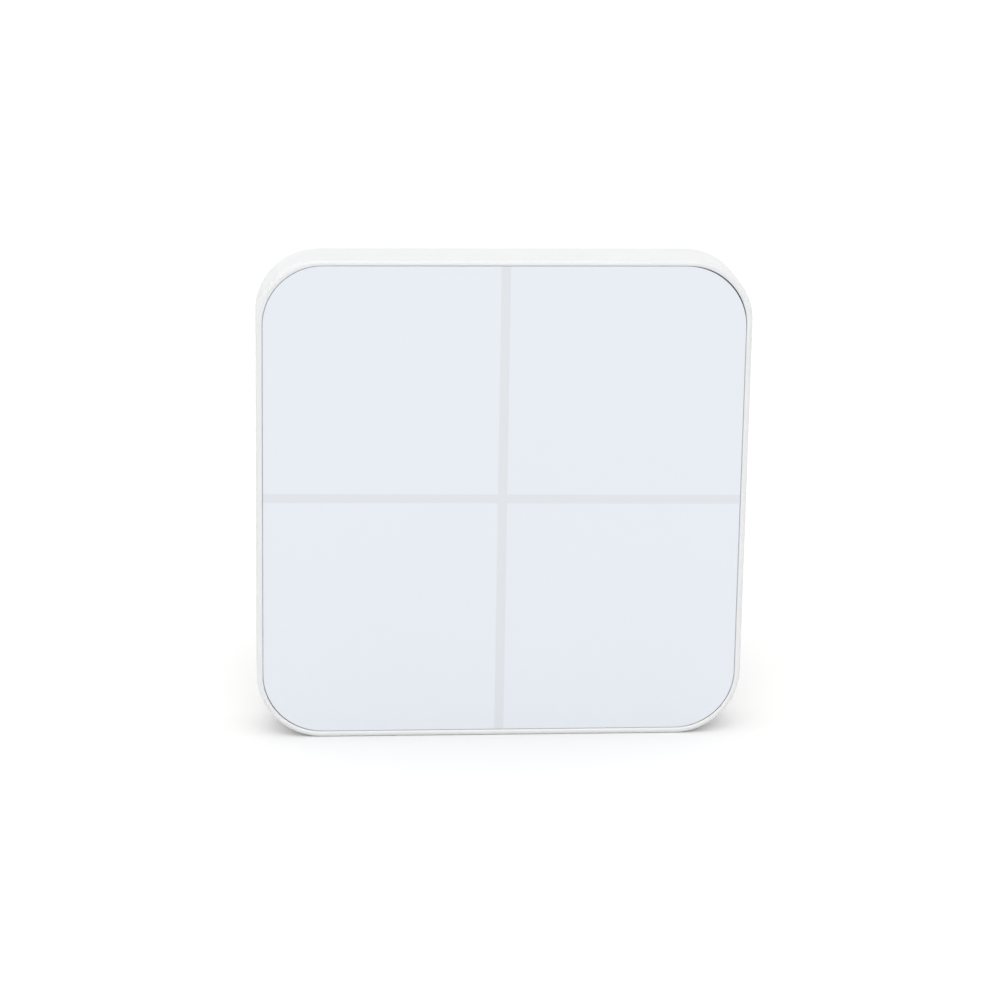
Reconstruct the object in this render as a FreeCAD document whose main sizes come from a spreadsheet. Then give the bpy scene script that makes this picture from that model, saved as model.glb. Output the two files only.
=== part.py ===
import FreeCAD, Part
import math
import os
from types import SimpleNamespace

import Sketcher

# Four-zone touch wall switch, battery powered, held on a flat wall plate by magnets.
# Millimetres throughout. The origin is the middle of the wall plate's wall face,
# +X is right as seen from the front, +Z is up and +Y points into the wall.
# A "height" is the distance in front of the wall, so a point at height h lies at y = -h.
SIZES = {
    # housing outline and depth
    "bodyWidth": 75.0,
    "bodyHeight": 75.0,
    "cornerRound": 10.0,
    "overallDepth": 13.0,  # wall to front rim
    "wallGap": 2.1,  # wall to the frame's rear edge
    "frontEdgeBevel": 0.3,
    "rearEdgeBevel": 1.3,
    # front frame
    "rimWidth": 0.87,
    "sideWall": 2.4,
    "seatWidth": 3.85,  # ledge behind the glass
    "seatThickness": 1.15,
    "seatCornerCut": 8.2,  # straight cut across each corner of the ledge
    "bossInset": 6.5,
    "bossRadius": 2.6,
    "pilotRadius": 0.8,
    "pilotDepth": 4.4,
    "ribWidth": 1.2,
    "ribProud": 1.1,
    "ribSpacing": 30.0,
    # touch panel
    "glassGap": 0.17,
    "glassRecess": 0.15,
    "glassThickness": 1.5,
    "glassCorner": 9.2,
    "glassEdgeBevel": 0.2,
    "tapeThickness": 0.2,
    "tapeInset": 0.4,
    "adhesiveGap": 0.15,
    "electrodeThickness": 0.1,
    "electrodeMargin": 1.2,
    "electrodeSplit": 3.0,
    # circuit board
    "boardThickness": 1.0,
    "boardGap": 0.25,
    "tabWidth": 9.6,
    "tabLength": 2.2,
    "tabGap": 0.3,
    "ledInset": 10.5,  # from the bottom of the housing
    "ledWidth": 3.2,
    "ledDepth": 2.0,
    "ledRise": 1.1,
    "lensRadius": 0.7,
    "lensGap": 0.1,
    "lensReach": 0.8,
    # rear cover
    "coverThickness": 1.6,
    "coverGap": 0.2,
    "coverEdge": 0.3,
    "magnetInset": 15.5,
    "magnetWidth": 9.0,
    "magnetThickness": 2.0,
    "magnetGap": 0.1,
    "magnetFloor": 0.6,
    "cupWall": 1.1,
    "cupRise": 0.8,
    "fenceWidth": 1.0,
    "fenceLength": 8.0,
    "fenceOverlap": 1.05,  # how far the fences stand beside the cell
    "fenceGap": 0.3,
    "fenceDrop": 6.0,  # below the middle of the cell
    # cover screws
    "screwRadius": 0.75,
    "screwLength": 5.4,  # with its head
    "screwGap": 0.2,
    "screwHeadRadius": 1.6,
    "screwHeadGap": 0.2,
    "screwHeadSunk": 0.1,
    # wall plate
    "plateThickness": 2.8,
    "plateGap": 0.1,
    "plateMargin": 0.4,
    "plateFrontEdge": 0.5,
    "plateRearEdge": 0.3,
    "keeperRadius": 6.0,
    "keeperThickness": 1.0,
    "keeperGap": 0.1,
    "slotInset": 4.7,
    "slotWidth": 3.6,
    "slotLength": 5.0,
    "headRecessWidth": 6.6,
    "headRecessDepth": 1.6,
    # action button and its switch
    "buttonInset": 18.5,  # from the bottom of the housing
    "buttonRadius": 3.0,
    "buttonGap": 0.1,
    "buttonSunk": 0.3,
    "buttonEdge": 0.3,
    "flangeRadius": 4.2,
    "flangeThickness": 0.7,
    "flangeGap": 0.05,
    "stemRadius": 1.4,
    "stemGap": 0.05,
    "switchWidth": 6.0,
    "switchRise": 2.75,
    "switchFloor": 0.9,
    "switchBore": 2.3,
    "switchCoverThickness": 0.3,
    "plungerRadius": 1.6,
    "plungerGap": 0.1,
    "plungerProud": 0.5,
    "plungerFootRadius": 2.1,
    "plungerFootThickness": 1.2,
    "plungerFootGap": 0.05,
    # charging socket
    "socketWidth": 7.5,
    "socketRise": 2.65,
    "socketLength": 5.4,
    "socketSheet": 0.3,
    "socketShoulder": 0.8,
    "socketReveal": 0.2,
    "socketGap": 0.25,
    "socketLegWidth": 0.8,
    "socketLegLength": 1.6,
    "tongueWidth": 3.7,
    "tongueThickness": 0.6,
    "tongueStart": 0.9,
    "tongueRoot": 1.0,
    "contactWidth": 0.35,
    "contactPitch": 0.65,
    "contactThickness": 0.1,
    # battery
    "cellWidth": 32.0,
    "cellHeight": 28.0,
    "cellThickness": 3.8,
    "cellEdgeBevel": 1.2,
    "cellInset": 11.5,  # from the top of the housing
    "guardHeight": 3.0,
    "guardThickness": 0.8,
    "leadRadius": 0.4,
    "leadPitch": 1.4,
    "leadLength": 3.4,
    "leadInset": 3.0,  # from the end of the guard board
    "plugLength": 4.6,
    "plugWidth": 4.0,
    "plugRise": 2.4,
    "plugGap": 0.1,
    "plugProud": 1.2,
    "plugSocketWall": 0.7,
    # vibration motor
    "motorInset": 12.0,  # from the side of the housing
    "motorRadius": 4.0,
    "motorRise": 2.7,
    "motorSheet": 0.25,
    "motorBaseThickness": 0.3,
    "shaftRadius": 0.4,
    "shaftGap": 0.05,
    "rotorRadius": 3.3,
    "rotorThickness": 1.2,
    "rotorLift": 0.75,
    "hubRadius": 1.1,
    "motorLeadRadius": 0.25,
    "motorLeadLength": 2.4,
    "motorLeadPitch": 1.2,
    # radio module and chips
    "moduleInset": 6.0,  # from the side of the housing
    "moduleWidth": 10.0,
    "moduleHeight": 17.0,
    "moduleThickness": 0.8,
    "moduleDrop": 7.0,
    "shieldHeight": 11.0,
    "shieldRise": 1.6,
    "shieldSheet": 0.2,
    "shieldEdgeBevel": 0.3,
    "shieldMargin": 0.5,
    "radioChipWidth": 5.0,
    "radioChipRise": 0.85,
    "antennaTrack": 0.4,
    "antennaPitch": 1.2,
    "antennaReach": 3.6,
    "antennaThickness": 0.1,
    "touchChipWidth": 5.0,
    "touchChipRise": 0.9,
    "chargeChipWidth": 3.0,
    "chargeChipRise": 0.8,
    "chipSide": 11.0,
    "smallPartLength": 1.6,
    "smallPartWidth": 0.8,
    "smallPartRise": 0.7,
    "smallPartPitch": 2.0,
}
ANTENNA_TURNS = 5
SMALL_PARTS_IN_ROW = 6
SOCKET_CONTACTS = 5
CUT_SHRINK = 2 - math.sqrt(2)  # how much a corner cut shortens when its outline steps in by 1

doc = FreeCAD.newDocument("WallSwitch")
sheet = doc.addObject("Spreadsheet::Sheet", "Sizes")
for row, (alias, number) in enumerate(SIZES.items(), start=1):
    sheet.set(f"A{row}", alias)
    sheet.set(f"B{row}", str(number))
    sheet.setAlias(f"B{row}", alias)
doc.recompute()


class Length:
    """A size as a number, for first guesses, and as the sheet expression that drives it."""

    def __init__(self, number, text):
        self.number = number
        self.text = text

    def joined(self, sign, other, number):
        return Length(number, f"({self.text} {sign} {other.text})")

    def __add__(self, other):
        other = as_length(other)
        return self.joined("+", other, self.number + other.number)

    def __sub__(self, other):
        other = as_length(other)
        return self.joined("-", other, self.number - other.number)

    def __mul__(self, factor):
        factor = as_length(factor)
        return self.joined("*", factor, self.number * factor.number)

    def __truediv__(self, divisor):
        divisor = as_length(divisor)
        return self.joined("/", divisor, self.number / divisor.number)

    def __neg__(self):
        return Length(-self.number, f"(-1 * {self.text})")

    __rmul__ = __mul__


def as_length(value):
    if isinstance(value, Length):
        return value
    return Length(float(value), f"({value})")


s = SimpleNamespace(**{alias: Length(sheet.get(alias), f"Sizes.{alias}") for alias in SIZES})
ZERO = as_length(0)

# heights in front of the wall, from the wall out
plateFront = s.plateThickness
coverRear = plateFront + s.plateGap
coverFront = coverRear + s.coverThickness
frameDepth = s.overallDepth - s.wallGap
glassRear = s.overallDepth - s.glassRecess - s.glassThickness
seatFront = glassRear - s.tapeThickness
seatRear = seatFront - s.seatThickness
boardFront = seatFront - s.electrodeThickness
boardRear = boardFront - s.boardThickness
cellFront = boardRear - s.tapeThickness
cellRear = cellFront - s.cellThickness

# outlines, each from the one that it fits into
openingWidth = s.bodyWidth - 2 * s.rimWidth
openingHeight = s.bodyHeight - 2 * s.rimWidth
openingCorner = s.cornerRound - s.rimWidth
seatOpeningWidth = openingWidth - 2 * s.seatWidth
seatOpeningHeight = openingHeight - 2 * s.seatWidth
cavityWidth = s.bodyWidth - 2 * s.sideWall
cavityHeight = s.bodyHeight - 2 * s.sideWall
cavityCorner = s.cornerRound - s.sideWall
glassWidth = openingWidth - 2 * s.glassGap
glassHeight = openingHeight - 2 * s.glassGap
boardWidth = seatOpeningWidth - 2 * s.boardGap
boardHeight = seatOpeningHeight - 2 * s.boardGap
boardCut = s.seatCornerCut - CUT_SHRINK * s.boardGap
tabFoot = -boardHeight / 2 - s.tabLength
plateWidth = cavityWidth - 2 * s.plateMargin
plateHeight = cavityHeight - 2 * s.plateMargin

# places on the board, from the sides of the housing
halfWidth = s.bodyWidth / 2
halfHeight = s.bodyHeight / 2
bossX = halfWidth - s.bossInset
bossZ = halfHeight - s.bossInset
magnetX = halfWidth - s.magnetInset
magnetZ = halfHeight - s.magnetInset
buttonZ = s.buttonInset - halfHeight
ledZ = s.ledInset - halfHeight
cellZ = halfHeight - s.cellInset - s.cellHeight / 2
cellBottom = cellZ - s.cellHeight / 2
motorX = halfWidth - s.motorInset
moduleX = s.moduleInset + s.moduleWidth / 2 - halfWidth
moduleZ = -s.moduleDrop


def corners_at(x, z):
    """The four places that mirror (x, z) about both middle planes."""
    return [(x, z), (-x, z), (-x, -z), (x, -z)]


def origin_part(body, role):
    return [item for item in body.Origin.OriginFeatures if item.Role == role][0]


def new_body(name):
    body = doc.addObject("PartDesign::Body", name)
    body.Label = name
    return body


def place(item, height, x=ZERO, z=ZERO):
    """Puts an object's own origin at a height in front of the wall."""
    item.setExpression("Placement.Base.x", as_length(x).text)
    item.setExpression("Placement.Base.y", (-as_length(height)).text)
    item.setExpression("Placement.Base.z", as_length(z).text)


def new_sketch(body, name, plane="XZ_Plane", x=ZERO, y=ZERO, out=ZERO):
    """A sketch on the body's own plane; out is how far it stands off along the plane's normal."""
    sketch = body.newObject("Sketcher::SketchObject", f"{body.Name}_{name}")
    sketch.AttachmentSupport = (origin_part(body, plane), [""])
    sketch.MapMode = "FlatFace"
    sketch.setExpression("AttachmentOffset.Base.x", as_length(x).text)
    sketch.setExpression("AttachmentOffset.Base.y", as_length(y).text)
    sketch.setExpression("AttachmentOffset.Base.z", as_length(out).text)
    return sketch


def drive(sketch, kind, where, length):
    """Adds a dimension that the sheet drives."""
    index = sketch.addConstraint(Sketcher.Constraint(kind, *where, as_length(length).number))
    name = f"size{index}"
    sketch.renameConstraint(index, name)
    sketch.setExpression(f"Constraints.{name}", as_length(length).text)


def add_line(sketch, start, end):
    edge = Part.LineSegment(FreeCAD.Vector(*start, 0), FreeCAD.Vector(*end, 0))
    return sketch.addGeometry(edge, False)


def add_arc(sketch, centre, radius, start_degrees, end_degrees):
    circle = Part.Circle(FreeCAD.Vector(*centre, 0), FreeCAD.Vector(0, 0, 1), radius)
    arc = Part.ArcOfCircle(circle, math.radians(start_degrees), math.radians(end_degrees))
    return sketch.addGeometry(arc, False)


def tie(sketch, kind, *where):
    sketch.addConstraint(Sketcher.Constraint(kind, *where))


def rounded_rectangle(sketch, width, height, corner):
    """A rectangle with four equal round corners, centred on the sketch's origin."""
    x, z, r = width.number / 2, height.number / 2, corner.number
    bottom = add_line(sketch, (r - x, -z), (x - r, -z))
    first = add_arc(sketch, (x - r, r - z), r, 270, 360)
    right = add_line(sketch, (x, r - z), (x, z - r))
    second = add_arc(sketch, (x - r, z - r), r, 0, 90)
    top = add_line(sketch, (x - r, z), (r - x, z))
    third = add_arc(sketch, (r - x, z - r), r, 90, 180)
    left = add_line(sketch, (-x, z - r), (-x, r - z))
    fourth = add_arc(sketch, (r - x, r - z), r, 180, 270)
    loop = [bottom, first, right, second, top, third, left, fourth]
    for edge, following in zip(loop, loop[1:] + loop[:1]):
        tie(sketch, "Tangent", edge, 2, following, 1)
    for level in (bottom, top):
        tie(sketch, "Horizontal", level)
    for upright in (right, left):
        tie(sketch, "Vertical", upright)
    for arc in (second, third, fourth):
        tie(sketch, "Equal", first, arc)
    tie(sketch, "Symmetric", bottom, 1, top, 1, -1, 1)
    drive(sketch, "Radius", (first,), corner)
    drive(sketch, "DistanceX", (left, 2, right, 1), width)
    drive(sketch, "DistanceY", (bottom, 2, top, 1), height)


def polygon(sketch, points):
    """A closed outline of straight edges whose corners the sheet drives."""
    points = [(as_length(x), as_length(z)) for x, z in points]
    numbers = [(x.number, z.number) for x, z in points]
    edges = [add_line(sketch, a, b) for a, b in zip(numbers, numbers[1:] + numbers[:1])]
    for edge, following, (x, z) in zip(edges, edges[1:] + edges[:1], points):
        tie(sketch, "Coincident", edge, 2, following, 1)
        drive(sketch, "DistanceX", (-1, 1, edge, 1), x)
        drive(sketch, "DistanceY", (-1, 1, edge, 1), z)


def rectangle(sketch, width, height, x=ZERO, z=ZERO):
    x, z = as_length(x), as_length(z)
    left, right = x - width / 2, x + width / 2
    low, high = z - height / 2, z + height / 2
    polygon(sketch, [(left, low), (right, low), (right, high), (left, high)])


def cut_rectangle(sketch, width, height, cut):
    """A rectangle whose four corners are cut off straight, centred on the sketch's origin."""
    x, z = width / 2, height / 2
    lower = [(-x, cut - z), (cut - x, -z), (x - cut, -z), (x, cut - z)]
    upper = [(x, z - cut), (x - cut, z), (cut - x, z), (-x, z - cut)]
    polygon(sketch, lower + upper)


def circles(sketch, radius, places=((ZERO, ZERO),)):
    for x, z in places:
        x, z = as_length(x), as_length(z)
        centre = FreeCAD.Vector(x.number, z.number, 0)
        ring = sketch.addGeometry(Part.Circle(centre, FreeCAD.Vector(0, 0, 1), radius.number), False)
        drive(sketch, "DistanceX", (-1, 1, ring, 3), x)
        drive(sketch, "DistanceY", (-1, 1, ring, 3), z)
        drive(sketch, "Radius", (ring,), radius)


def slot(sketch, length, width, x, z, upright):
    """A slot with round ends; upright turns it along Z."""
    x, z, reach, r = as_length(x), as_length(z), (length - width) / 2, width / 2
    turn = 90 if upright else 0
    ends = [(x, z + reach), (x, z - reach)] if upright else [(x + reach, z), (x - reach, z)]
    far, near = [(a.number, b.number) for a, b in ends]
    side = (0, r.number) if not upright else (-r.number, 0)
    low, high = [
        [(end[0] + sign * side[0], end[1] + sign * side[1]) for end in (near, far)]
        for sign in (-1, 1)
    ]
    low = add_line(sketch, low[0], low[1])
    cap = add_arc(sketch, far, r.number, turn - 90, turn + 90)
    high = add_line(sketch, high[1], high[0])
    foot = add_arc(sketch, near, r.number, turn + 90, turn + 270)
    loop = [low, cap, high, foot]
    for edge, following in zip(loop, loop[1:] + loop[:1]):
        tie(sketch, "Tangent", edge, 2, following, 1)
    tie(sketch, "Equal", cap, foot)
    drive(sketch, "Radius", (cap,), r)
    for arc, (end_x, end_z) in zip((cap, foot), ends):
        drive(sketch, "DistanceX", (-1, 1, arc, 3), end_x)
        drive(sketch, "DistanceY", (-1, 1, arc, 3), end_z)


def feature(body, kind, name, sketch, length, reverse):
    item = body.newObject(f"PartDesign::{kind}", f"{body.Name}_{name}")
    item.Profile = sketch
    item.setExpression("Length", length.text)
    item.Reversed = reverse
    return item


def pad(body, name, sketch, length, reverse=False):
    """Adds material along the sketch plane's normal, or against it."""
    return feature(body, "Pad", name, sketch, length, reverse)


def pocket(body, name, sketch, length, reverse=False):
    """Cuts against the sketch plane's normal, or along it."""
    return feature(body, "Pocket", name, sketch, length, reverse)


def revolve(body, name, sketch):
    item = body.newObject("PartDesign::Revolution", f"{body.Name}_{name}")
    item.Profile = sketch
    item.ReferenceAxis = (sketch, ["V_Axis"])
    item.Angle = 360
    return item


def edges_in_plane(base, axis, level):
    """Names of the edges that lie in the plane where the coordinate along axis is level."""
    doc.recompute()
    names = []
    for number, edge in enumerate(base.Shape.Edges, start=1):
        box = edge.BoundBox
        low, high = (getattr(box, axis + end) for end in ("Min", "Max"))
        if abs(low - level.number) < 1e-4 and abs(high - level.number) < 1e-4:
            names.append(f"Edge{number}")
    return names


def bevel_edges(body, name, base, axis, level, width):
    item = body.newObject("PartDesign::Chamfer", f"{body.Name}_{name}")
    item.Base = (base, edges_in_plane(base, axis, level))
    item.setExpression("Size", width.text)
    return item


def box(name, width, rise, height, front, x=ZERO, z=ZERO):
    """A block centred on (x, z) whose front face is at a height, reaching rise towards the wall."""
    item = doc.addObject("Part::Box", name)
    item.Label = name
    item.setExpression("Length", width.text)
    item.setExpression("Width", rise.text)
    item.setExpression("Height", height.text)
    place(item, front, as_length(x) - width / 2, as_length(z) - height / 2)
    return item


def disc(name, radius, rise, front, x, z):
    """A round block whose front face is at a height, reaching rise towards the wall."""
    item = doc.addObject("Part::Cylinder", name)
    item.Label = name
    item.Placement.Rotation = FreeCAD.Rotation(FreeCAD.Vector(1, 0, 0), -90)
    item.setExpression("Radius", radius.text)
    item.setExpression("Height", rise.text)
    place(item, front, x, z)
    return item


def cone(name, front_radius, rear_radius, rise, front, x, z):
    """A disc that widens towards the wall."""
    item = doc.addObject("Part::Cone", name)
    item.Placement.Rotation = FreeCAD.Rotation(FreeCAD.Vector(1, 0, 0), -90)
    item.setExpression("Radius1", front_radius.text)
    item.setExpression("Radius2", rear_radius.text)
    item.setExpression("Height", rise.text)
    place(item, front, x, z)
    return item


def wires(name, axis, radius, length, pitch, height, x, z):
    """Two straight wires side by side, starting at (x, z) and reaching along +X or +Z."""
    pair = []
    for count in range(2):
        wire = doc.addObject("Part::Cylinder", f"{name}_{count}")
        wire.setExpression("Radius", radius.text)
        wire.setExpression("Height", length.text)
        step = pitch * (count - 0.5)
        if axis == "X":
            wire.Placement.Rotation = FreeCAD.Rotation(FreeCAD.Vector(0, 1, 0), 90)
            place(wire, height, x, z + step)
        else:
            place(wire, height, x + step, z)
        pair.append(wire)
    group(name, pair)


def group(name, items):
    """One node of separate like solids."""
    item = doc.addObject("Part::Compound", name)
    item.Label = name
    item.Links = items
    return item


# Front frame: one moulding with the rim, the side walls, the ledge that carries the glass,
# four screw bosses and eight ribs for the rear cover.
def make_front_frame():
    body = new_body("front_frame")
    outline = new_sketch(body, "outline")
    rounded_rectangle(outline, s.bodyWidth, s.bodyHeight, s.cornerRound)
    block = pad(body, "block", outline, frameDepth)
    front = bevel_edges(body, "front_bevel", block, "Y", -frameDepth, s.frontEdgeBevel)
    bevel_edges(body, "rear_bevel", front, "Y", ZERO, s.rearEdgeBevel)

    opening = new_sketch(body, "opening", out=frameDepth)
    rounded_rectangle(opening, openingWidth, openingHeight, openingCorner)
    pocket(body, "glass_pocket", opening, s.overallDepth - seatFront)
    seat = new_sketch(body, "seat", out=frameDepth)
    cut_rectangle(seat, seatOpeningWidth, seatOpeningHeight, s.seatCornerCut)
    pocket(body, "seat_opening", seat, frameDepth)
    inside = new_sketch(body, "inside")
    rounded_rectangle(inside, cavityWidth, cavityHeight, cavityCorner)
    pocket(body, "cavity", inside, seatRear - s.wallGap, reverse=True)

    cover_seat = coverFront - s.wallGap
    bosses = new_sketch(body, "bosses", out=cover_seat)
    circles(bosses, s.bossRadius, corners_at(bossX, bossZ))
    pad(body, "screw_bosses", bosses, seatRear - coverFront)
    ribs = new_sketch(body, "ribs", out=cover_seat)
    side = (cavityWidth - s.ribProud) / 2
    level = (cavityHeight - s.ribProud) / 2
    for x, z in corners_at(side, s.ribSpacing / 2):
        rectangle(ribs, s.ribProud, s.ribWidth, x, z)
    for x, z in corners_at(s.ribSpacing / 2, level):
        rectangle(ribs, s.ribWidth, s.ribProud, x, z)
    pad(body, "cover_ribs", ribs, seatRear - coverFront)
    pilots = new_sketch(body, "pilots", out=cover_seat)
    circles(pilots, s.pilotRadius, corners_at(bossX, bossZ))
    pocket(body, "pilot_holes", pilots, s.pilotDepth, reverse=True)

    notch = new_sketch(body, "notch", out=seatFront - s.wallGap)
    notch_height = (cavityHeight - seatOpeningHeight) / 2 + s.tabGap
    notch_z = (notch_height - cavityHeight) / 2
    rectangle(notch, s.tabWidth + 2 * s.tabGap, notch_height, ZERO, notch_z)
    pocket(body, "board_notch", notch, s.seatThickness)
    mouth_height = boardRear - s.socketRise / 2 - s.wallGap
    mouth = new_sketch(body, "mouth", "XY_Plane", y=-mouth_height, out=-halfHeight)
    gap = 2 * s.socketGap
    rounded_rectangle(mouth, s.socketWidth + gap, s.socketRise + gap, s.socketShoulder / 2)
    pocket(body, "socket_mouth", mouth, s.sideWall + s.socketGap, reverse=True)
    place(body, s.wallGap)


# Touch panel: the glass, the tape strips that hold it on the ledge and the sheet that bonds
# the sensor to its back.
def make_touch_panel():
    body = new_body("cover_glass")
    outline = new_sketch(body, "outline")
    rounded_rectangle(outline, glassWidth, glassHeight, s.glassCorner)
    block = pad(body, "sheet", outline, s.glassThickness)
    bevel_edges(body, "front_bevel", block, "Y", -s.glassThickness, s.glassEdgeBevel)
    place(body, glassRear)

    side = (glassWidth - seatOpeningWidth) / 2 - s.tapeInset
    level = (glassHeight - seatOpeningHeight) / 2 - s.tapeInset
    tall = seatOpeningHeight - 2 * s.seatCornerCut
    wide = seatOpeningWidth - 2 * s.seatCornerCut
    strips = []
    for count, sign in enumerate((-1, 1)):
        x = sign * (seatOpeningWidth + side) / 2
        z = sign * (seatOpeningHeight + level) / 2
        strips.append(box(f"tape_side_{count}", side, s.tapeThickness, tall, glassRear, x, ZERO))
        strips.append(box(f"tape_level_{count}", wide, s.tapeThickness, level, glassRear, ZERO, z))
    group("panel_tape", strips)

    body = new_body("sensor_adhesive")
    outline = new_sketch(body, "outline")
    inset = 2 * s.adhesiveGap
    cut = s.seatCornerCut - CUT_SHRINK * s.adhesiveGap
    cut_rectangle(outline, seatOpeningWidth - inset, seatOpeningHeight - inset, cut)
    pad(body, "layer", outline, s.tapeThickness)
    place(body, seatFront)


# Circuit board: sensor electrodes on its front, parts on its rear, a tab for the charging socket.
def make_circuit_board():
    body = new_body("circuit_board")
    outline = new_sketch(body, "outline")
    cut_rectangle(outline, boardWidth, boardHeight, boardCut)
    pad(body, "sheet", outline, s.boardThickness)
    tab = new_sketch(body, "tab")
    rectangle(tab, s.tabWidth, s.tabLength * 2, ZERO, -boardHeight / 2)
    pad(body, "socket_tab", tab, s.boardThickness)
    window = new_sketch(body, "window", y=ledZ, out=s.boardThickness)
    circles(window, s.lensRadius + s.lensGap)
    pocket(body, "led_window", window, s.boardThickness)
    place(body, boardRear)

    body = new_body("sensor_electrodes")
    outline = new_sketch(body, "outline")
    margin = 2 * s.electrodeMargin
    cut = boardCut - CUT_SHRINK * s.electrodeMargin
    cut_rectangle(outline, boardWidth - margin, boardHeight - margin, cut)
    pad(body, "copper", outline, s.electrodeThickness)
    splits = {"upright": (s.electrodeSplit, boardHeight), "level": (boardWidth, s.electrodeSplit)}
    for name, (width, height) in splits.items():
        split = new_sketch(body, name, out=s.electrodeThickness)
        rectangle(split, width, height)
        pocket(body, f"{name}_split", split, s.electrodeThickness)
    window = new_sketch(body, "window", y=ledZ, out=s.electrodeThickness)
    circles(window, s.lensRadius + s.lensGap)
    pocket(body, "led_window", window, s.electrodeThickness)
    place(body, boardFront)

    body = new_body("status_led")
    case = new_sketch(body, "case")
    rectangle(case, s.ledWidth, s.ledDepth)
    pad(body, "package", case, s.ledRise, reverse=True)
    lens = new_sketch(body, "lens")
    circles(lens, s.lensRadius)
    pad(body, "dome", lens, s.lensReach)
    place(body, boardRear, ZERO, ledZ)


# Chips and small parts on the board's rear face.
def make_board_parts():
    touch, charge = s.touchChipWidth, s.chargeChipWidth
    box("touch_chip", touch, s.touchChipRise, touch, boardRear, -s.chipSide, buttonZ)
    box("charge_chip", charge, s.chargeChipRise, charge, boardRear, s.chipSide, ledZ)
    row_gap = touch / 2 + s.smallPartLength
    rows = {"touch": (-s.chipSide, buttonZ - row_gap), "charge": (s.chipSide, ledZ + row_gap)}
    width, rise, length = s.smallPartWidth, s.smallPartRise, s.smallPartLength
    parts = []
    for row_name, (row_x, row_z) in rows.items():
        for count in range(SMALL_PARTS_IN_ROW):
            x = row_x + s.smallPartPitch * (count - (SMALL_PARTS_IN_ROW - 1) / 2)
            parts.append(box(f"{row_name}_part_{count}", width, rise, length, boardRear, x, row_z))
    group("board_parts", parts)


# Radio module: its own small board, a chip under a sheet metal shield, and a folded antenna track.
def make_radio_module():
    box("radio_board", s.moduleWidth, s.moduleThickness, s.moduleHeight, boardRear, moduleX, moduleZ)
    rear = boardRear - s.moduleThickness
    chip = s.radioChipWidth
    shield_z = moduleZ + (s.moduleHeight - s.shieldHeight) / 2 - s.shieldMargin
    box("radio_chip", chip, s.radioChipRise, chip, rear, moduleX, shield_z)

    body = new_body("radio_shield")
    width = s.moduleWidth - 2 * s.shieldMargin
    outline = new_sketch(body, "outline")
    rectangle(outline, width, s.shieldHeight)
    block = pad(body, "block", outline, s.shieldRise, reverse=True)
    bevel_edges(body, "roof_bevel", block, "Y", s.shieldRise, s.shieldEdgeBevel)
    hollow = new_sketch(body, "hollow")
    rectangle(hollow, width - 2 * s.shieldSheet, s.shieldHeight - 2 * s.shieldSheet)
    pocket(body, "inside", hollow, s.shieldRise - s.shieldSheet)
    place(body, rear, moduleX, shield_z)

    track, reach, sheet_rise = s.antennaTrack, s.antennaReach, s.antennaThickness
    first = moduleX - s.antennaPitch * (ANTENNA_TURNS - 1) / 2
    foot = moduleZ - s.moduleHeight / 2 + s.shieldMargin
    bars = []
    for count in range(ANTENNA_TURNS):
        x = first + s.antennaPitch * count
        bars.append(box(f"antenna_leg_{count}", track, sheet_rise, reach, rear, x, foot + reach / 2))
    for count in range(ANTENNA_TURNS - 1):
        x = first + s.antennaPitch * (count + 0.5)
        z = foot + (reach - track / 2 if count % 2 else track / 2)
        bars.append(box(f"antenna_turn_{count}", s.antennaPitch + track, sheet_rise, track, rear, x, z))
    antenna = doc.addObject("Part::MultiFuse", "radio_antenna")
    antenna.Label = "radio_antenna"
    antenna.Shapes = bars


# Charging socket: a folded metal shell, the moulded tongue in it and its contact strips.
def make_charging_socket():
    mouth_z = s.socketReveal - halfHeight
    body = new_body("charge_socket_shell")
    profile = new_sketch(body, "profile", "XY_Plane")
    half, inner = s.socketWidth / 2, s.socketWidth / 2 - s.socketSheet
    low, high = s.socketSheet, s.socketRise - s.socketSheet
    top, inner_top = half - s.socketShoulder, half - s.socketShoulder - s.socketSheet / 2
    bend = s.socketRise - s.socketShoulder
    inner_bend = bend - s.socketSheet / 2
    for side, roof_side, floor, shoulder, roof in (
        (half, top, ZERO, bend, s.socketRise),
        (inner, inner_top, low, inner_bend, high),
    ):
        right = [(side, floor), (side, shoulder), (roof_side, roof)]
        left = [(-x, rise) for x, rise in reversed(right)]
        polygon(profile, right + left)
    pad(body, "tube", profile, s.socketLength)
    legs = new_sketch(body, "legs", y=tabFoot - mouth_z)
    leg_x = half + (s.socketLegWidth - s.socketSheet) / 2
    for x in (leg_x, -leg_x):
        rectangle(legs, s.socketLegWidth + s.socketSheet, s.socketLegLength, x, s.socketLegLength / 2)
    pad(body, "solder_legs", legs, s.socketSheet, reverse=True)
    place(body, boardRear, ZERO, mouth_z)

    blade_length = s.socketLength - s.tongueRoot - s.tongueStart
    body = new_body("charge_socket_tongue")
    root = new_sketch(body, "root", "XY_Plane", y=s.socketRise / 2, out=s.socketLength - s.tongueRoot)
    rectangle(root, 2 * inner_top, s.socketRise - 3 * s.socketSheet)
    pad(body, "root_block", root, s.tongueRoot)
    blade = new_sketch(body, "blade", "XY_Plane", y=s.socketRise / 2, out=s.tongueStart)
    rectangle(blade, s.tongueWidth, s.tongueThickness)
    pad(body, "blade_block", blade, blade_length)
    place(body, boardRear, ZERO, mouth_z)

    front = boardRear - s.socketRise / 2 + s.tongueThickness / 2 + s.contactThickness
    z = mouth_z + s.tongueStart + blade_length / 2
    contacts = []
    for count in range(SOCKET_CONTACTS):
        x = s.contactPitch * (count - (SOCKET_CONTACTS - 1) / 2)
        name = f"contact_{count}"
        contacts.append(box(name, s.contactWidth, s.contactThickness, blade_length, front, x, z))
    group("charge_socket_contacts", contacts)


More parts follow.
